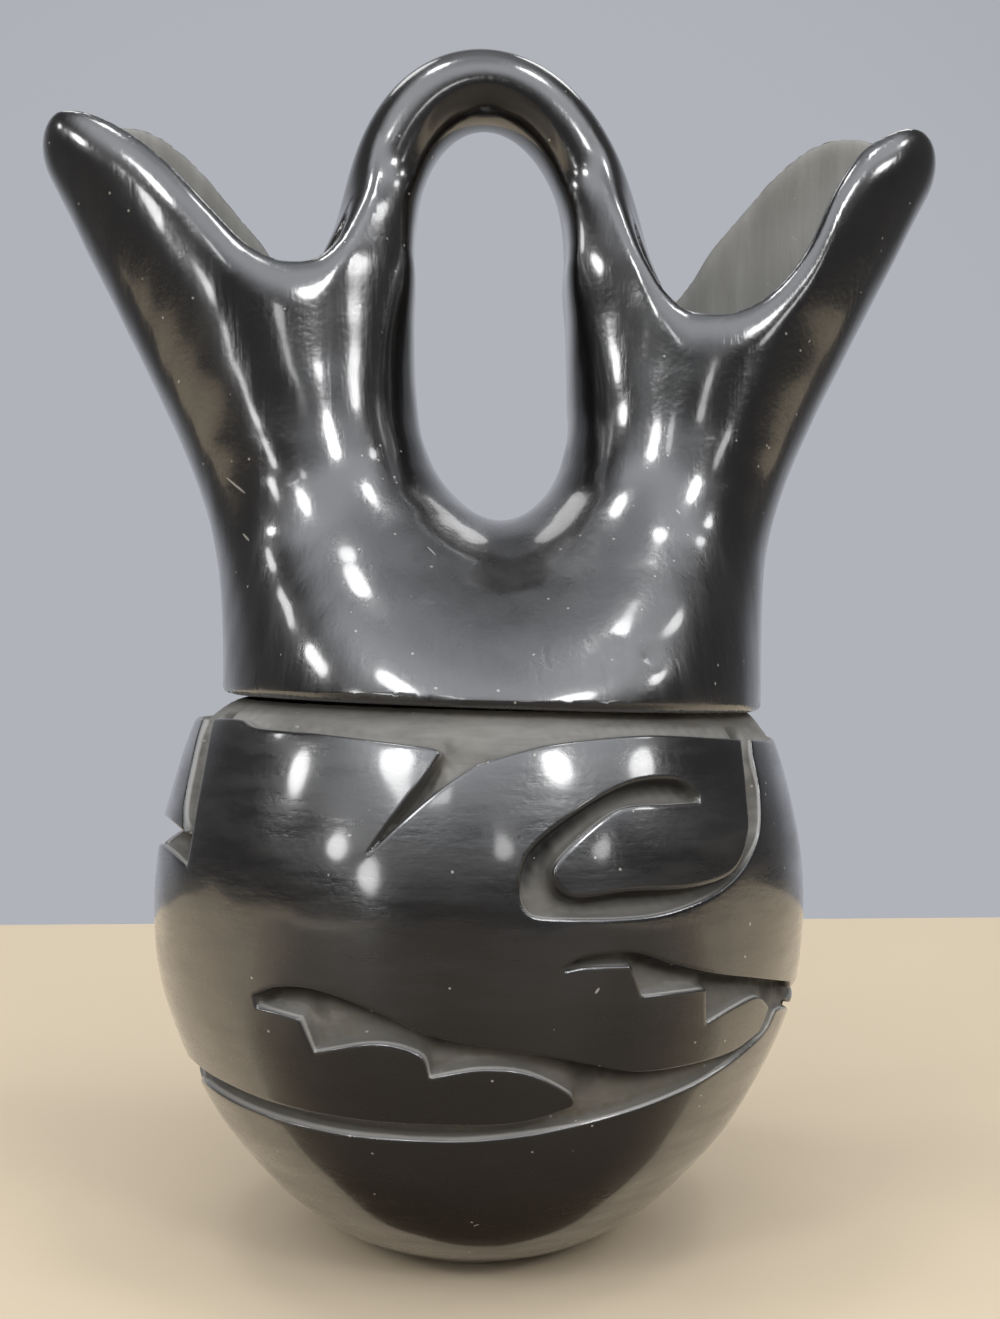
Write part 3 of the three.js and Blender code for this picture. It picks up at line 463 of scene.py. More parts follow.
# The tool was held sloping, so each ground is deep under the form above it and rises to the form
# below it. This is 1 right under the form above and 0 at the form below.
is_ground = inward > 0
row_numbers = np.arange(len(rows))
row_below = np.maximum.accumulate(np.where(is_ground, -1, row_numbers), 1)
row_above = np.minimum.accumulate(np.where(is_ground, len(rows), row_numbers)[:, ::-1], 1)[:, ::-1]
under = np.where(is_ground, (row_numbers - row_below) / np.maximum(row_above - row_below, 1), 0)
weight = is_ground.astype(float)
SMOOTHING_ROUNDS = 14
for _ in range(SMOOTHING_ROUNDS):
    for grid in (under, weight):
        grid[1:-1] = (grid[:-2] + 2 * grid[1:-1] + grid[2:]) / 4
        grid[:, 1:-1] = (grid[:, :-2] + 2 * grid[:, 1:-1] + grid[:, 2:]) / 4
under = under / np.maximum(weight, 1e-6)


# A line keeps this share of a step away from the grid's own points.
SHARE_LIMITS = 0.05, 0.95


def contour(level):
    """Points and links of the lines on which the way in is the level given."""
    over = inward > level
    flat = over[:-1] != over[1:]
    steep = over[:, :-1] != over[:, 1:]
    flat_id = np.where(flat, np.cumsum(flat).reshape(flat.shape) - 1, -1)
    steep_id = np.where(steep, np.cumsum(steep).reshape(steep.shape) - 1 + flat.sum(), -1)
    i, j = np.nonzero(flat)
    share = np.clip((level - inward[i, j]) / (inward[i + 1, j] - inward[i, j]), *SHARE_LIMITS)
    points = [np.stack([columns[i] + share * column_step, rows[j]], 1)]
    i, j = np.nonzero(steep)
    share = np.clip((level - inward[i, j]) / (inward[i, j + 1] - inward[i, j]), *SHARE_LIMITS)
    points.append(np.stack([columns[i], rows[j] + share * row_step], 1))
    around = np.stack([flat_id[:, :-1], steep_id[:-1], flat_id[:, 1:], steep_id[1:]], -1)
    sides = (around >= 0).sum(-1)
    pairs = np.sort(around[sides == 2], -1)[:, 2:]
    saddle = around[sides == 4]
    return np.concatenate(points), np.concatenate([pairs, saddle[:, :2], saddle[:, 2:]])


# The bowl and the wall above it meet just above the foot of the groove's lower edge.
JOINT_LIFT = 1.5


def joint_way(along):
    return bowl_rim(along) + JOINT_LIFT


# The unrolled skin is meshed with lines along each carved edge, at these ways in from its outline, and
# with points between them. The shares are how much of the depth is reached at each way in. Points on
# the seam that are nearer to each other than SAME_WAY count as one.
EDGE_WAYS = [-0.8, -0.4, -0.15, 0, 0.2, 0.5, 0.8, 1.1, 1.5, 2.2]
EDGE_SHARES = [0, 0.015, 0.05, 0.13, 0.32, 0.62, 0.83, 0.93, 0.98, 1]
SKIN_SPACING = 2.4
GROUND_SPACING = 1.3
ROW_SPACING_SHARE = 0.87
CLEAR_OF_SKIN_EDGE = 0.8
CLEAR_OF_GROUND_EDGE = 0.5
CLEAR_OF_JOINT = 0.6
JOINT_POINTS = 480
END_POINTS = 181
SAME_WAY = 0.02

flat_points, flat_links = [], []
count = 0
for level in EDGE_WAYS:
    points, pairs = contour(level)
    flat_points.append(points)
    flat_links.append(pairs + count)
    count += len(points)
joint_along = np.linspace(-HALF_TURN, HALF_TURN, JOINT_POINTS)
flat_points.append(np.stack([joint_along, joint_way(joint_along)], 1))
flat_links.append(np.stack([np.arange(JOINT_POINTS - 1), np.arange(1, JOINT_POINTS)], 1) + count)
crossings = np.concatenate(flat_points)
seam_ways = np.unique(np.round(np.concatenate([
    np.arange(0, TOP_WAY, SKIN_SPACING), [TOP_WAY], crossings[crossings[:, 0] < -HALF_TURN + 1e-6, 1]]), 4))
seam_ways = seam_ways[np.concatenate([[True], np.diff(seam_ways) > SAME_WAY])]
end_along = np.linspace(-HALF_TURN, HALF_TURN, END_POINTS)
for end in (-HALF_TURN, HALF_TURN):
    flat_points.append(np.stack([np.full(len(seam_ways), end), seam_ways], 1))
for end in (0, TOP_WAY):
    flat_points.append(np.stack([end_along, np.full(END_POINTS, end)], 1))
for spacing, in_ground in [(SKIN_SPACING, False), (GROUND_SPACING, True)]:
    a, b = np.meshgrid(
        np.arange(-HALF_TURN + spacing, HALF_TURN - spacing / 2, spacing),
        np.arange(spacing, TOP_WAY - spacing / 2, spacing * ROW_SPACING_SHARE), indexing="ij")
    a = a + spacing / 2 * (np.arange(b.shape[1]) % 2)
    a, b = a.ravel(), b.ravel()
    way_in = grid_at(inward, a, b)
    if in_ground:
        clear = way_in > EDGE_WAYS[-1] + CLEAR_OF_GROUND_EDGE
    else:
        clear = way_in < EDGE_WAYS[0] - CLEAR_OF_SKIN_EDGE
    clear &= np.abs(b - joint_way(a)) > CLEAR_OF_JOINT
    clear &= np.abs(a) < HALF_TURN - CLEAR_OF_JOINT
    flat_points.append(np.stack([a, b], 1)[clear])
flat_points = np.concatenate(flat_points)
flat_links = np.concatenate(flat_links)
found, _, faces, _, _, _ = delaunay_2d_cdt(
    [Vector(point) for point in flat_points.tolist()], flat_links.tolist(), [], 0, 1e-4, False)
found = np.array([tuple(point) for point in found])
faces = np.array([face for face in faces if len(face) == 3])
turn = np.cross(found[faces[:, 1]] - found[faces[:, 0]], found[faces[:, 2]] - found[faces[:, 0]])
faces[turn < 0] = faces[turn < 0][:, ::-1]
faces = faces[np.abs(turn) > 1e-9]

# The two ends of the unrolled skin are one line on the pot, so the right end's points give way.
left_end = np.nonzero(np.abs(found[:, 0] + HALF_TURN) < 1e-3)[0]
right_end = np.nonzero(np.abs(found[:, 0] - HALF_TURN) < 1e-3)[0]
nearest = np.abs(found[left_end, 1][None] - found[right_end, 1][:, None]).argmin(1)
same = np.arange(len(found))
same[right_end] = left_end[nearest]
in_bowl = found[faces, 1].mean(1) < joint_way(found[faces, 0].mean(1))
faces = same[faces]
whole = (faces[:, 0] != faces[:, 1]) & (faces[:, 1] != faces[:, 2]) & (faces[:, 2] != faces[:, 0])
faces, in_bowl = faces[whole], in_bowl[whole]

# The depth of the carving, and the dust and painted shade on its ground. The ground is painted dark as
# shade under the form above it, and pale on the worn edge of the form below and under the ledge. How far up
# the ground the painted shade and the pale edge reach is a share of the way from the form below, 0, to the
# form above, 1.
CARVE_DEPTH = 3.1
GROUND_OFFSET = 1
LOW_CUT = 0.45
HIGH_CUT = 1.5
STEEPNESS = 1.5
STEEPER_UNDER = 2.3
SHARPER_UNDER = 2
LEDGE_UNDERCUT = 0.9
UNDERCUT_REACH = 3
SHADED_WIDTH = 3.3
SHADE_FADE = 1.8
SHADE_STARTS = 0.3667
SHADE_FULL = 0.7
BEVEL_FULL = 0.2
BEVEL_ENDS = 0.5333
BEVEL_DUST = [(0, 0.3), (0.05, 1), (0.15, 1), (0.35, 0.5), (0.5, 0)]
PLAIN_GROUND = 0.45
LEDGE_DUST = 0.14
LEDGE_DUST_REACH = 16
SKIN_UNEVENNESS = 0.11
SCRAPE_DEPTH = 0.13

sunk = grid_at(under, *found.T)
flat_way_in = grid_at(inward, *found.T)
way_in = flat_way_in * np.where(
    flat_way_in > 0, STEEPNESS + STEEPER_UNDER * sunk, 1 + SHARPER_UNDER * sunk)
carved = np.interp(way_in, EDGE_WAYS, EDGE_SHARES)
bearing = found[:, 0] / UNROLL_RADIUS
depth = carved * (CARVE_DEPTH - GROUND_OFFSET * np.sin(bearing)) * (LOW_CUT + (HIGH_CUT - LOW_CUT) * sunk)
below_ledge = np.clip((found[:, 1] - TOP_WAY) / UNDERCUT_REACH + 1, 0, 1)
depth += LEDGE_UNDERCUT * below_ledge ** 2
heights = np.interp(found[:, 1], profile_ways, PROFILE_HEIGHTS)
overhang = np.maximum(side_slope(heights), 0)
# Painted shade: the ground is painted dark under the form above it, and further down where the pot's side
# leans out over the ground, past the strip that the form hides.
in_shade = np.clip((SHADED_WIDTH + depth * overhang - flat_way_in) / SHADE_FADE, 0, 1)
in_shade *= np.interp(sunk, [SHADE_STARTS, SHADE_FULL], [0, 1])
on_bevel = np.interp(carved, *zip(*BEVEL_DUST))
on_bevel *= np.interp(sunk, [BEVEL_FULL, BEVEL_ENDS], [1, 0])
on_ledge = np.clip((found[:, 1] - TOP_WAY + LEDGE_DUST_REACH) / UNDERCUT_REACH, 0, 1) * carved
dust_and_shade = PLAIN_GROUND * (1 - in_shade) + (1 - PLAIN_GROUND) * np.maximum(on_bevel, LEDGE_DUST * on_ledge)
skin = pot_points(found[:, 0], found[:, 1], 0)
depth += SKIN_UNEVENNESS * (1 + handwork(*skin.T)) * (1 - carved)
scraped = np.sin(found[:, 0] * 1.9 + 2.2 * np.sin(found[:, 1] * 0.31))
scraped *= np.sin(found[:, 1] * 1.3 + found[:, 0] * 0.4)
depth += SCRAPE_DEPTH * scraped * carved ** 4
skin = pot_points(found[:, 0], found[:, 1], depth)


def unit(vectors):
    return vectors / np.maximum(np.linalg.norm(vectors, axis=1), 1e-12)[:, None]


def face_normals(points, triangles):
    a, b, c = points[triangles[:, 0]], points[triangles[:, 1]], points[triangles[:, 2]]
    return unit(np.cross(b - a, c - a))


def corner_normals(points, triangles):
    """Smooth normals at the points of a mesh, each face weighed by its angle there."""
    normals = np.zeros(points.shape)
    flat = face_normals(points, triangles)
    for k in range(3):
        here = points[triangles[:, k]]
        one = points[triangles[:, (k + 1) % 3]] - here
        two = points[triangles[:, (k + 2) % 3]] - here
        lengths = np.linalg.norm(one, axis=1) * np.linalg.norm(two, axis=1)
        cosine = (one * two).sum(1) / np.maximum(lengths, 1e-12)
        np.add.at(normals, triangles[:, k], flat * np.arccos(np.clip(cosine, -1, 1))[:, None])
    return unit(normals)


def stitched(lower, lower_along, upper, upper_along):
    """Faces between two closed rings of points, each sorted by bearing."""
    lower, upper = lower[np.argsort(lower_along)], upper[np.argsort(upper_along)]
    lower_along, upper_along = np.sort(lower_along), np.sort(upper_along)
    lower, upper = np.append(lower, lower[0]), np.append(upper, upper[0])
    lower_along = np.append(lower_along, lower_along[0] + 2 * HALF_TURN)
    upper_along = np.append(upper_along, upper_along[0] + 2 * HALF_TURN)
    made, i, j = [], 0, 0
    while i < len(lower) - 1 or j < len(upper) - 1:
        if j == len(upper) - 1 or (i < len(lower) - 1 and lower_along[i + 1] < upper_along[j + 1]):
            made.append((lower[i], lower[i + 1], upper[j]))
            i += 1
        else:
            made.append((lower[i], upper[j + 1], upper[j]))
            j += 1
    return np.array(made)


def add_mesh(name, points, polygons, normals, values, material):
    """A mesh piece from points in millimetres, with a normal for each corner of each face."""
    mesh = bpy.data.meshes.new(name)
    mesh.from_pydata((points * MM).tolist(), [], polygons)
    mesh.polygons.foreach_set("use_smooth", np.ones(len(mesh.polygons), bool))
    mesh.normals_split_custom_set(normals.tolist())
    for key, value in values.items():
        mesh.attributes.new(key, "FLOAT", "POINT").data.foreach_set("value", value.astype(np.float32))
    mesh.materials.append(material)
    piece = bpy.data.objects.new(name, mesh)
    bpy.context.collection.objects.link(piece)
    return piece


INNER_POINTS = 96
BOWL_INNER_HEIGHTS = (POT_WALL, 12, 16)
WALL_RINGS = 16
inner_along = np.linspace(-HALF_TURN, HALF_TURN, INNER_POINTS + 1)[:-1]
inner_joint = joint_way(inner_along)
skin_normals = corner_normals(skin, faces)
top_ring = np.unique(same[np.nonzero(found[:, 1] > TOP_WAY - 1e-6)[0]])
on_joint = np.unique(np.intersect1d(faces[in_bowl], faces[~in_bowl]))


def pot_piece(name, outer_faces, low_ring, high_ring, inner_ways):
    """Closes a stretch of the pot's skin with an inside wall and returns it as a piece."""
    points, rings = [skin], []
    total = len(skin)
    for way in inner_ways:
        points.append(pot_points(inner_along, way, np.full(INNER_POINTS, float(POT_WALL))))
        rings.append(np.arange(total, total + INNER_POINTS))
        total += INNER_POINTS
    inner_faces = np.concatenate([
        stitched(above, inner_along, below, inner_along) for below, above in zip(rings, rings[1:])])
    flat_faces = []
    if high_ring is not None:
        flat_faces.append(stitched(high_ring, found[high_ring, 0], rings[-1], inner_along))
    if low_ring is not None:
        flat_faces.append(stitched(rings[0], inner_along, low_ring, found[low_ring, 0]))
    else:
        points.append(np.array([[0, 0, 0], points[1].mean(0)]))
        foot = np.unique(same[np.nonzero(found[:, 1] < 1e-6)[0]])
        foot = foot[np.argsort(found[foot, 0])]
        flat_faces.append(np.stack([np.roll(foot, -1), foot, np.full(len(foot), total)], 1))
        inner_faces = np.concatenate([
            inner_faces, np.stack([rings[0], np.roll(rings[0], -1), np.full(INNER_POINTS, total + 1)], 1)])
    points = np.concatenate(points)
    flat_faces = np.concatenate(flat_faces)
    everything = np.concatenate([outer_faces, inner_faces, flat_faces])
    normals = np.concatenate([
        skin_normals[outer_faces].reshape(-1, 3),
        corner_normals(points, inner_faces)[inner_faces].reshape(-1, 3),
        np.repeat(face_normals(points, flat_faces), 3, 0)])
    inner_count = len(points) - len(skin)
    matte = np.append(carved, np.ones(inner_count))
    point_dust_and_shade = np.append(dust_and_shade, np.full(inner_count, PLAIN_GROUND))
    used, numbered = np.unique(everything, return_inverse=True)
    values = {"matte": matte[used], "dust_and_shade": point_dust_and_shade[used]}
    return add_mesh(name, points[used], numbered.reshape(-1, 3).tolist(), normals, values, pot_clay)


# The clay's look: stroke marks along the way it was rubbed with the stone, clouds of brown in the black,
# and specks of dust and fine scratches, each a long thin spot. The bowl is rubbed less than the spouts.
STROKE_DETAIL = 5
STROKE_ROUGHNESS = 0.6
STROKE_RELIEF = 0.36
RELIEF_DEPTH = 0.0004
CLOUD_SCALE = 26
CLOUD_DETAIL = 4
CLOUD_SHARE = 0.3
BLACK_ENDS = 0.35
BROWN_STARTS = 0.72
BLACK_CLAY = (0.002, 0.002, 0.002, 1)
BROWN_CLAY = (0.007, 0.006, 0.005, 1)
GRAIN_SCALE = 900
GRAIN_DETAIL = 2
GRAIN_SHARE = 0.25
SPECK_SCALE = (300, 300, 300)
SPECK_SIZE = 0.075
SPECK_RARENESS = 0.68
SCRATCH_SCALE = (260, 260, 16)
SCRATCH_TURNS = [(0.5, 0.7, 0.3), (-0.9, 0.4, 1.2), (1.4, -0.2, 0.6)]
SCRATCH_SIZE = 0.06
SCRATCH_RARENESS = 0.86
MARK_COLOUR = (0.30, 0.29, 0.27, 1)
CLAY_IOR = 1.85
COAT_IOR = 1.7
COAT_ROUGHNESS = 0.1
SMOOTHEST = 0.18
ROUGHEST_BELOW = 0.42
ROUGHEST_ABOVE = 0.24
NECK_POLISH_ENDS = 0.128
SPOUT_POLISH_STARTS = 0.152
MATTE_STARTS = 0.05
MATTE_FULL = 0.4
GROUND_ROUGHNESS = 0.8
GROUND_STREAKS = 0.35
# The colour of the painted shade on the ground under the forms above it.
SHADED_GROUND = (0.010, 0.009, 0.008, 1)
PALE_GROUND = (0.55, 0.54, 0.51, 1)


def noise(tree, place, scale, detail, roughness=0.5):
    inputs = {"Vector": place, "Scale": scale, "Detail": detail, "Roughness": roughness}
    return add_node(tree, "TexNoise", inputs).outputs["Fac"]


def attribute(tree, name):
    return add_node(tree, "Attribute", {}, attribute_name=name).outputs["Fac"]


def ramp(tree, value, first, last, *between):
    """Colours for a value. Each stop is a place and the colour there."""
    node = add_node(tree, "ValToRGB", {"Fac": value})
    elements = node.color_ramp.elements
    elements[0].position, elements[0].color = first
    elements[1].position, elements[1].color = last
    for place, colour in between:
        elements.new(place).color = colour
    return node.outputs["Color"]


def spots(tree, place, scale, turn, size, rareness):
    """1 in small spots scattered at random and 0 elsewhere. The scale gives their shape."""
    inputs = {"Vector": place, "Scale": [1 / part for part in scale], "Rotation": turn}
    turned = add_node(tree, "Mapping", inputs, vector_type="TEXTURE").outputs["Vector"]
    dots = add_node(tree, "TexVoronoi", {"Vector": turned, "Scale": 1}).outputs
    lot = add_node(tree, "SeparateColor", {"Color": dots["Color"]}).outputs["Red"]
    near = maths(tree, "LESS_THAN", dots["Distance"], size)
    return maths(tree, "MULTIPLY", near, maths(tree, "GREATER_THAN", lot, rareness))


def burnished_clay(name, stroke_scale, evenness, ground_colour):
    material, tree, shader = new_material(name)
    shader.inputs["IOR"].default_value = CLAY_IOR
    shader.inputs["Coat IOR"].default_value = COAT_IOR
    shader.inputs["Coat Roughness"].default_value = COAT_ROUGHNESS
    place = add_node(tree, "TexCoord", {}).outputs["Object"]
    stretched = add_node(tree, "Mapping", {"Vector": place, "Scale": stroke_scale}).outputs["Vector"]
    strokes = noise(tree, stretched, 1, STROKE_DETAIL, STROKE_ROUGHNESS)
    clouds = noise(tree, place, CLOUD_SCALE, CLOUD_DETAIL)
    grain = noise(tree, place, GRAIN_SCALE, GRAIN_DETAIL)
    marks = spots(tree, place, SPECK_SCALE, (0, 0, 0), SPECK_SIZE, SPECK_RARENESS)
    for turn in SCRATCH_TURNS:
        scratches = spots(tree, place, SCRATCH_SCALE, turn, SCRATCH_SIZE, SCRATCH_RARENESS)
        marks = maths(tree, "MAXIMUM", marks, scratches)

    matte = ranged(tree, attribute(tree, "matte"), MATTE_STARTS, MATTE_FULL)
    tint = ramp(tree, clouds, (BLACK_ENDS, BLACK_CLAY), (BROWN_STARTS, BROWN_CLAY))
    # The carved ground's colour: dark painted shade at the low end of the attribute, the ground colour in the
    # middle, and pale dust on worn edges at the top.
    streaked = maths(tree, "MULTIPLY_ADD", strokes, GROUND_STREAKS, attribute(tree, "dust_and_shade"))
    dust_and_shade_colour = ramp(
        tree, streaked, (GROUND_STREAKS / 2, SHADED_GROUND), (1, PALE_GROUND),
        (PLAIN_GROUND + GROUND_STREAKS / 2, ground_colour))
    colour = mixed(tree, marks, mixed(tree, matte, tint, dust_and_shade_colour), MARK_COLOUR)
    tree.links.new(colour, shader.inputs["Base Color"])
    tree.links.new(ranged(tree, matte, 0, 1, 1, 0), shader.inputs["Coat Weight"])

    height = add_node(tree, "SeparateXYZ", {"Vector": place}).outputs["Z"]
    roughest = ranged(
        tree, height, NECK_POLISH_ENDS, SPOUT_POLISH_STARTS, ROUGHEST_BELOW, ROUGHEST_ABOVE, "SMOOTHSTEP")
    rubbed = mixed(tree, CLOUD_SHARE, strokes, clouds, "FLOAT")
    polish = ranged(tree, rubbed, 0.5 - evenness, 0.5 + evenness, SMOOTHEST, roughest)
    tree.links.new(mixed(tree, matte, polish, GROUND_ROUGHNESS, "FLOAT"), shader.inputs["Roughness"])
    surface = maths(tree, "MULTIPLY_ADD", grain, GRAIN_SHARE, strokes)
    relief = add_node(tree, "Bump", {"Strength": STROKE_RELIEF, "Distance": RELIEF_DEPTH, "Height": surface})
    tree.links.new(relief.outputs["Normal"], shader.inputs["Normal"])
    return material


ROUND_STROKES = (40, 40, 190)
POT_EVENNESS = 0.12
POT_GROUND = (0.110, 0.103, 0.088, 1)
pot_clay = burnished_clay("burnished_round", ROUND_STROKES, POT_EVENNESS, POT_GROUND)

bowl_ways = [
    np.full(INNER_POINTS, np.interp(height, PROFILE_HEIGHTS, profile_ways)) for height in BOWL_INNER_HEIGHTS]
bowl = pot_piece("base_bowl_skin", faces[in_bowl], None, on_joint, bowl_ways + [inner_joint])
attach(bowl, "root")
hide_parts("base_bowl")

wall_ways = [inner_joint * (1 - share) + TOP_WAY * share for share in np.linspace(0, 1, WALL_RINGS)]
wall = pot_piece("belly_wall_skin", faces[~in_bowl], on_joint, top_ring, wall_ways)
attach(wall, "root")
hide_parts("belly_wall")

# COLLAR, SPOUTS AND HANDLE
# Above the carved band the vase is one thick, highly burnished shell: a collar that parts into two flared
# spouts with rolled lips, and a bar of clay, bent to an arch over the finger hole and joined on while wet.
# It is worked out in one go and parted at the joints.
COLLAR_RADIUS = 52.8
COLLAR_OFFSET = 4.8
FLARE_START = 139.5
FLARE_SOFTNESS = 8
LEFT_FLARE = 0.498
RIGHT_FLARE = 0.521
SPOUT_WALL = 5
CROTCH_BLEND = 12
LIP_ROUNDING = 9
LIP_INNER_ROUNDING = 4
LIP_LIFT = 1.5
LEDGE_ROUNDING = 1.8
WALL_COSINE = 0.93
HANDLE_SPAN = 44.6
HANDLE_RISE = 33.7
HANDLE_SPRING_HEIGHT = 193.5
HANDLE_THICKNESS = 15.4
HANDLE_DEPTH = 18
HANDLE_OFFSET = -0.35
HANDLE_BLEND = 9
LEG_INSIDE_MOUTH = 9
LEG_OVERLAP = 1
LEG_SPREAD = 0.3
LEG_BEND = 12
LEG_LENGTH = 23
LEG_END_SLOPE = 0.8
HANDLE_SHEAR = 0.05
SHEAR_START = 7
HOLE_ROUNDING = 1.5
HOLE_MARGIN = 0.2
HOLE_SIDES_END = HANDLE_SPRING_HEIGHT - 1
HOLE_EDGE_START = 160
HOLE_EDGE_SLOPE = 0.15
RIM_SLOPE = 0.7
HOLE_HALF_WIDTH = 15.4
HOLE_FOOT_HEIGHT = 145.5
SPOUT_HALF_DEPTH = 24
COLLAR_HALF_DEPTH = 52
# At each height: the spouts' inner edges, how far the finger hole lies to the side, and half the depth.
INNER_EDGE = [(HOLE_FOOT_HEIGHT + up, HOLE_HALF_WIDTH + out) for up, out in [
    (-48, -57), (-28, -39), (-18, -28.4), (-10, -20.4), (-5, -13.1), (0, -7), (5, -3.4), (11, -1.4),
    (21, -0.4), (33, 0), (47, 0), (57, 3.1), (65, 9.6), (82, 22.6)]]
HOLE_SKEW = [(127.5, 1.5), (143.5, 1.5), (154.5, 0.8), (167.5, 0), (182.5, -0.3), (202.5, -0.5)]
HALF_DEPTH = [
    (100.5, COLLAR_HALF_DEPTH), (108.5, COLLAR_HALF_DEPTH - 1.5), (116.5, COLLAR_HALF_DEPTH - 5.6),
    (123.5, COLLAR_HALF_DEPTH - 11), (130.5, SPOUT_HALF_DEPTH + 10.8), (137.5, SPOUT_HALF_DEPTH + 5.4),
    (145.5, SPOUT_HALF_DEPTH + 1.9), (154.5, SPOUT_HALF_DEPTH + 0.5), (167.5, SPOUT_HALF_DEPTH),
    (192, SPOUT_HALF_DEPTH), (206, SPOUT_HALF_DEPTH - 1.6), (216, SPOUT_HALF_DEPTH - 4),
    (228, SPOUT_HALF_DEPTH - 8.5)]
# The rims: how far out from the middle, and the height there.
FRONT_RIM_LEFT = [
    (15, 234.5), (20, 220.5), (24, 206.5), (28, 197.5), (32, 191.5), (38, 189.1), (46, 192), (53, 199),
    (60, 206.5), (66, 211.8), (75, 217.3), (80, 219), (84, 219.3), (88, 216.5), (92, 210.5), (96, 201.5)]
FRONT_RIM_RIGHT = [
    (15, 227.5), (20, 214.5), (24, 203.5), (28, 192.5), (31.5, 185.5), (35, 181.5), (39.5, 180.1),
    (45.5, 180.5), (51, 183.5), (59, 193), (65, 205.3), (70, 212), (75, 215.5), (80, 217.8), (84, 218),
    (88, 215.5), (92, 209.5), (96, 200.5)]
BACK_RIM = [
    (15, 234.5), (20, 220.5), (25, 205.5), (30, 195.5), (36, 189.5), (42, 194), (48, 203), (54, 210),
    (61, 218), (70, 224.5), (79, 224.8), (85, 221.5), (90, 215.5), (96, 205.5)]
RIM_TWIST_DEPTH = 36


def joined(one, two, width):
    """Two forms run together, with a fillet of the width given."""
    overlap = np.maximum(width - np.abs(one - two), 0) / width
    return np.minimum(one, two) - overlap * overlap * width / 4


def shared(one, two, width):
    """What two forms have in common, with a rounded edge of the width given."""
    return -joined(-one, -two, width)


MIDDLE_RATIO = 0.05


def oval_distance(across, along, half_width, half_length):
    """How far outside an oval a point is, near enough, and negative inside."""
    ratio = np.hypot(across / half_width, along / half_length)
    slope = np.hypot(across / half_width ** 2, along / half_length ** 2) / np.maximum(ratio, 1e-9)
    inside = -np.minimum(half_width, half_length)
    return np.where(ratio > MIDDLE_RATIO, (ratio - 1) / np.maximum(slope, 1e-3), inside)


def hole_skew(z):
    """How far the finger hole lies to the side at each height."""
    return smooth_line(HOLE_SKEW, np.clip(z, HOLE_SKEW[0][0], HOLE_SKEW[-1][0]))


def spout_form(across, y, z, side):
    flare = LEFT_FLARE if side < 0 else RIGHT_FLARE
    outer = COLLAR_RADIUS + flare * FLARE_SOFTNESS * np.logaddexp(0, (z - FLARE_START) / FLARE_SOFTNESS)
    inner = smooth_line(INNER_EDGE, z) + side * hole_skew(z)
    middle, half = (outer + inner) / 2, (outer - inner) / 2
    return WALL_COSINE * oval_distance(side * across - middle, y, half, smooth_line(HALF_DEPTH, z))


def rim_height(across, y):
    """The height of the rim, which changes from its front to its back."""
    out = np.abs(across)
    front = np.where(across < 0, smooth_line(FRONT_RIM_LEFT, out), smooth_line(FRONT_RIM_RIGHT, out))
    share = np.clip(y / RIM_TWIST_DEPTH + 0.5, 0, 1)
    return front + (smooth_line(BACK_RIM, out) - front) * share * share * (3 - 2 * share)


def across_handle(across, z):
    """The place across the handle, whose arch leans a little."""
    return across - HANDLE_OFFSET + HANDLE_SHEAR * np.maximum(z - HANDLE_SPRING_HEIGHT - SHEAR_START, 0)


def handle_form(across, y, z):
    x = across_handle(across, z)
    rise = z - HANDLE_SPRING_HEIGHT
    arch = oval_distance(x, rise, HANDLE_SPAN / 2, HANDLE_RISE)
    drop = np.maximum(-rise, 0)
    leg = np.abs(x) - HANDLE_SPAN / 2 - LEG_SPREAD * drop * drop / (drop + LEG_BEND)
    off = np.where(rise > 0, arch, leg)
    bar = (np.hypot(off / (HANDLE_THICKNESS / 2), y / (HANDLE_DEPTH / 2)) - 1) * HANDLE_THICKNESS / 2
    return np.maximum(bar, (HANDLE_SPRING_HEIGHT - LEG_LENGTH - z) * LEG_END_SLOPE)


def hole_form(across, z):
    """The finger hole, a little small, so that rounding its edges brings it to size."""
    rise = z - HANDLE_SPRING_HEIGHT
    hole_rise = HANDLE_RISE - HANDLE_THICKNESS / 2
    arch = oval_distance(across_handle(across, z), rise, HOLE_HALF_WIDTH, hole_rise)
    sides = np.abs(across - hole_skew(z)) - smooth_line(INNER_EDGE, np.minimum(z, HOLE_SIDES_END))
    hole = np.where(rise > 0, arch, sides) + HOLE_MARGIN
    return np.maximum(hole, (HOLE_EDGE_START - z) * HOLE_EDGE_SLOPE)


DENTS = [
    # place, width and depth of the small dents in the front of the collar
    ((23.5, -47.5, 114.5), 2.2, 0.3), ((20.5, -49, 112), 1.6, 0.25), ((30, -45.5, 114), 2, 0.25),
    ((26, -47, 118), 4, -0.15), ((-28, -46, 112), 5, 0.2),
]


def shell_skin(x, y, z):
    across = x - COLLAR_OFFSET
    skin = joined(spout_form(across, y, z, -1), spout_form(across, y, z, 1), CROTCH_BLEND)
    for place, width, depth in DENTS:
        away = (x - place[0]) ** 2 + (y - place[1]) ** 2 + (z - place[2]) ** 2
        skin = skin + depth * np.exp(-away / width ** 2)
    return skin + SKIN_UNEVENNESS * handwork(x, y, z)


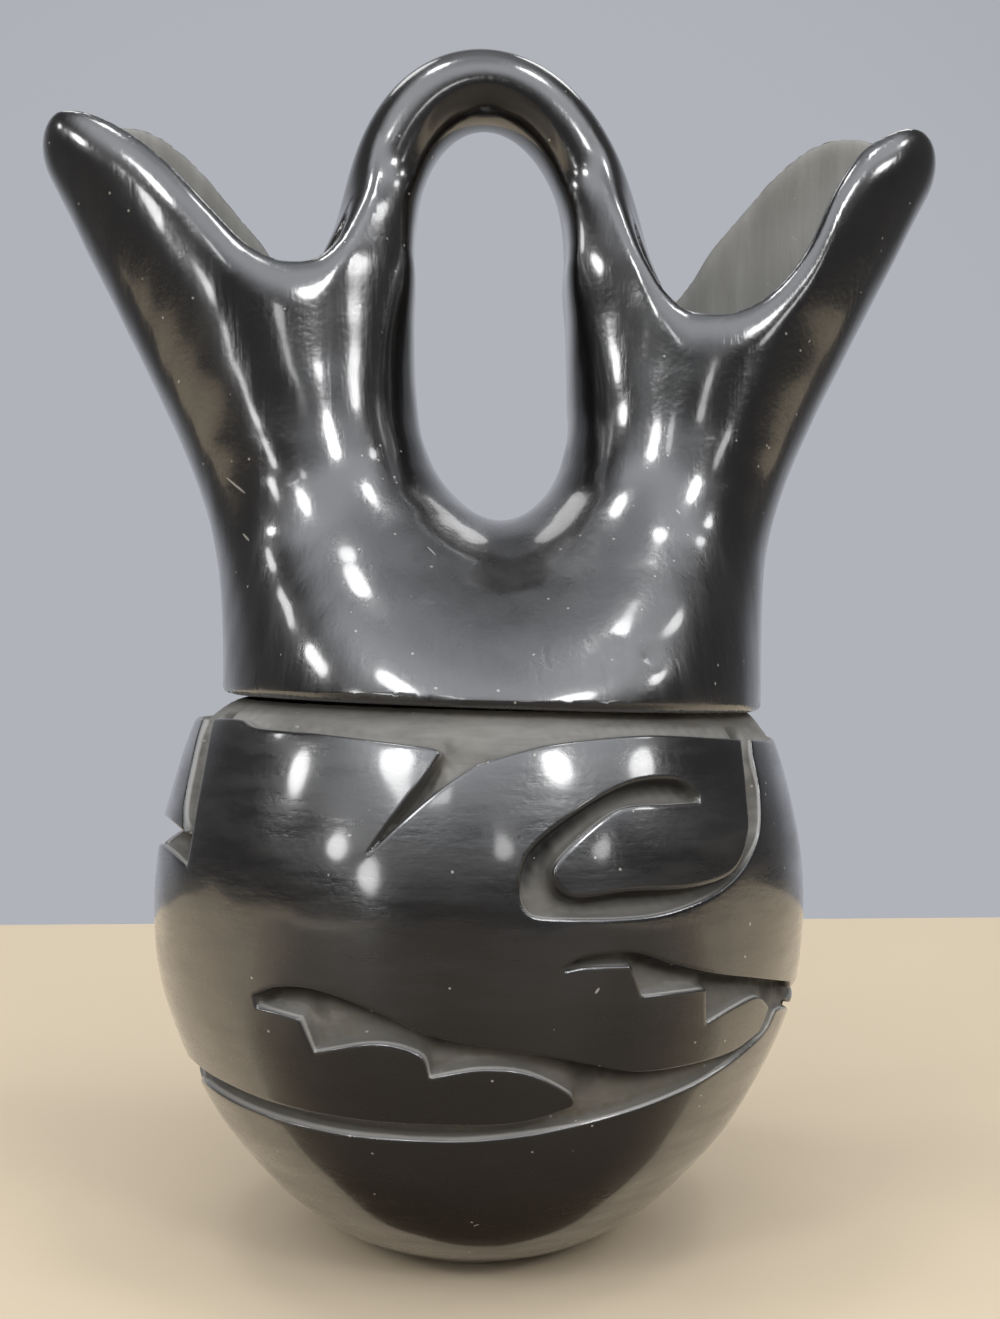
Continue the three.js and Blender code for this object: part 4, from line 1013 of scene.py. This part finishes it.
def shell_form(x, y, z):
    across = x - COLLAR_OFFSET
    outer = shell_skin(x, y, z)
    rim = (z - rim_height(across, y) - LIP_LIFT) * RIM_SLOPE
    hollow = np.maximum(outer + SPOUT_WALL, rim)
    form = shared(shared(outer, rim, LIP_ROUNDING), -hollow, LIP_INNER_ROUNDING)
    mouth = np.maximum(outer + SPOUT_WALL - LEG_OVERLAP, rim + LEG_INSIDE_MOUTH * RIM_SLOPE)
    handle = shared(handle_form(across, y, z), -mouth, LIP_INNER_ROUNDING)
    form = shared(joined(form, handle, HANDLE_BLEND), -hole_form(across, z), HOLE_ROUNDING)
    ledge = LEDGE_HEIGHT - (x * math.sin(LEAN) + z * math.cos(LEAN))
    return shared(form, ledge, LEDGE_ROUNDING)


def slope_of(form, points, probe=0.04):
    """The direction in which a form grows fastest at each point, and how fast."""
    slope = np.empty(points.shape)
    for axis in range(3):
        step = np.zeros(3)
        step[axis] = probe
        slope[:, axis] = (form(*(points + step).T) - form(*(points - step).T)) / (2 * probe)
    return slope


SETTLING_ROUNDS = 3
LEAST_SLOPE = 0.05


def skinned(form, low, high, step):
    """Points and four-sided faces of the skin of a form inside a box."""
    axes = [np.arange(low[k], high[k] + step, step) for k in range(3)]
    value = form(*np.meshgrid(*axes, indexing="ij"))
    inside = value < 0
    count = np.array(value.shape)
    corner = [(i, j, k) for i in (0, 1) for j in (0, 1) for k in (0, 1)]
    filled = sum(
        inside[i:count[0] - 1 + i, j:count[1] - 1 + j, k:count[2] - 1 + k].astype(np.int8)
        for i, j, k in corner)
    cell = np.stack(np.nonzero((filled > 0) & (filled < 8)), 1)
    number = np.full(filled.shape, -1)
    number[tuple(cell.T)] = np.arange(len(cell))
    place, crossings = np.zeros(cell.shape), np.zeros(len(cell))
    for start in corner:
        for axis in range(3):
            if start[axis]:
                continue
            end = np.array(start) + np.eye(3, dtype=int)[axis]
            from_value = value[tuple((cell + start).T)]
            to_value = value[tuple((cell + end).T)]
            crossed = (from_value < 0) != (to_value < 0)
            share = np.where(crossed, from_value / np.where(crossed, from_value - to_value, 1), 0)
            place += np.where(crossed[:, None], start + share[:, None] * (end - start), 0)
            crossings += crossed
    points = np.array(low) + step * (cell + place / crossings[:, None])
    faces = []
    for axis in range(3):
        one, two = (axis + 1) % 3, (axis + 2) % 3
        ahead = np.eye(3, dtype=int)[axis]
        here = inside[:count[0] - ahead[0], :count[1] - ahead[1], :count[2] - ahead[2]]
        there = inside[ahead[0]:, ahead[1]:, ahead[2]:]
        at = np.stack(np.nonzero(here != there), 1)
        for side in (one, two):
            at = at[(at[:, side] > 0) & (at[:, side] < count[side] - 1)]
        face = []
        for back_one, back_two in [(1, 1), (0, 1), (0, 0), (1, 0)]:
            moved = at.copy()
            moved[:, one] -= back_one
            moved[:, two] -= back_two
            face.append(number[tuple(moved.T)])
        face = np.stack(face, 1)
        outward = here[tuple(at.T)]
        face[~outward] = face[~outward][:, ::-1]
        faces.append(face)
    for _ in range(SETTLING_ROUNDS):
        slope = slope_of(form, points)
        move = -slope * (form(*points.T) / np.maximum((slope ** 2).sum(1), LEAST_SLOPE))[:, None]
        length = np.maximum(np.linalg.norm(move, axis=1), 1e-9)
        points = points + move * np.minimum(1, 0.5 * step / length)[:, None]
    return points, np.concatenate(faces)


SHELL_BOX = (-93, -56, 100), (103, 56, 238)
SHELL_STEP = 1.25
shell_points, shell_faces = skinned(shell_form, *SHELL_BOX, SHELL_STEP)
shell = bmesh.new()
shell_mesh = bpy.data.meshes.new("shell")
shell_mesh.from_pydata(shell_points.tolist(), [], shell_faces.tolist())
shell.from_mesh(shell_mesh)
bpy.data.meshes.remove(shell_mesh)


MATTE_INSIDE_START = 3
MATTE_INSIDE_FADE = 1.4
RIM_MATTE = 0.2
RIM_MATTE_FADE = 2.5


def cut_from_shell(name, planes):
    """A piece of the shell on the near side of each plane, closed where it was cut."""
    part = shell.copy()
    for point, normal, reach in planes:
        near = {vertex for vertex in part.verts if abs(vertex.co.x - COLLAR_OFFSET) < reach}
        geometry = list(near) + [edge for edge in part.edges if near.issuperset(edge.verts)]
        geometry += [face for face in part.faces if near.issuperset(face.verts)]
        cut = bmesh.ops.bisect_plane(
            part, geom=geometry, dist=1e-5, plane_co=point, plane_no=normal, clear_outer=True)
        rim = [item for item in cut["geom_cut"] if isinstance(item, bmesh.types.BMEdge)]
        for face in bmesh.ops.triangle_fill(part, edges=rim, use_beauty=True, normal=normal)["geom"]:
            if isinstance(face, bmesh.types.BMFace):
                face.material_index = 1
                if face.normal.dot(Vector(normal)) < 0:
                    face.normal_flip()
    part.verts.index_update()
    points = np.array([vertex.co[:] for vertex in part.verts])
    slope = unit(slope_of(shell_form, points))
    polygons, normals = [], []
    for face in part.faces:
        corners = [vertex.index for vertex in face.verts]
        polygons.append(corners)
        if face.material_index:
            normals += [tuple(face.normal)] * len(corners)
        else:
            normals += slope[corners].tolist()
    part.free()
    under_rim = rim_height(points[:, 0] - COLLAR_OFFSET, points[:, 1]) - points[:, 2]
    inside = np.clip((-shell_skin(*points.T) - MATTE_INSIDE_START) / MATTE_INSIDE_FADE, 0, 1)
    inside *= np.clip(under_rim / RIM_MATTE_FADE + RIM_MATTE, 0, 1)
    values = {"matte": inside, "dust_and_shade": np.full(len(points), PLAIN_GROUND)}
    return add_mesh(name, points, polygons, np.array(normals), values, shell_clay)


UPRIGHT_STROKES = (230, 230, 16)
SHELL_EVENNESS = 0.2
SHELL_GROUND = (0.235, 0.230, 0.210, 1)
shell_clay = burnished_clay("burnished_upright", UPRIGHT_STROKES, SHELL_EVENNESS, SHELL_GROUND)

# The planes at which each piece is cut: a point, the way that is cut off, and how far the cut reaches.
SPOUT_JOINT_HEIGHT = 128
HANDLE_JOINT_HEIGHT = 209.5
ALL_ROUND = 1000
UP, DOWN, LEFT, RIGHT = (0, 0, 1), (0, 0, -1), (-1, 0, 0), (1, 0, 0)
between = (COLLAR_OFFSET, 0, 0)
spout_joint, handle_joint = (0, 0, SPOUT_JOINT_HEIGHT), (0, 0, HANDLE_JOINT_HEIGHT)
shell_pieces = [
    ("shoulder_skin", "shoulder", [(spout_joint, UP, ALL_ROUND)]),
    ("left_spout_skin", "left_spout", [
        (spout_joint, DOWN, ALL_ROUND), (between, RIGHT, ALL_ROUND), (handle_joint, UP, HANDLE_SPAN)]),
    ("right_spout_skin", "right_spout", [
        (spout_joint, DOWN, ALL_ROUND), (between, LEFT, ALL_ROUND), (handle_joint, UP, HANDLE_SPAN)]),
    ("handle_skin", "handle", [
        (handle_joint, DOWN, ALL_ROUND),
        ((COLLAR_OFFSET - HANDLE_SPAN, 0, 0), LEFT, ALL_ROUND),
        ((COLLAR_OFFSET + HANDLE_SPAN, 0, 0), RIGHT, ALL_ROUND)]),
]
for name, node, planes in shell_pieces:
    piece = cut_from_shell(name, planes)
    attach(piece, "root")
    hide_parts(node)
shell.free()

bpy.context.view_layer.update()
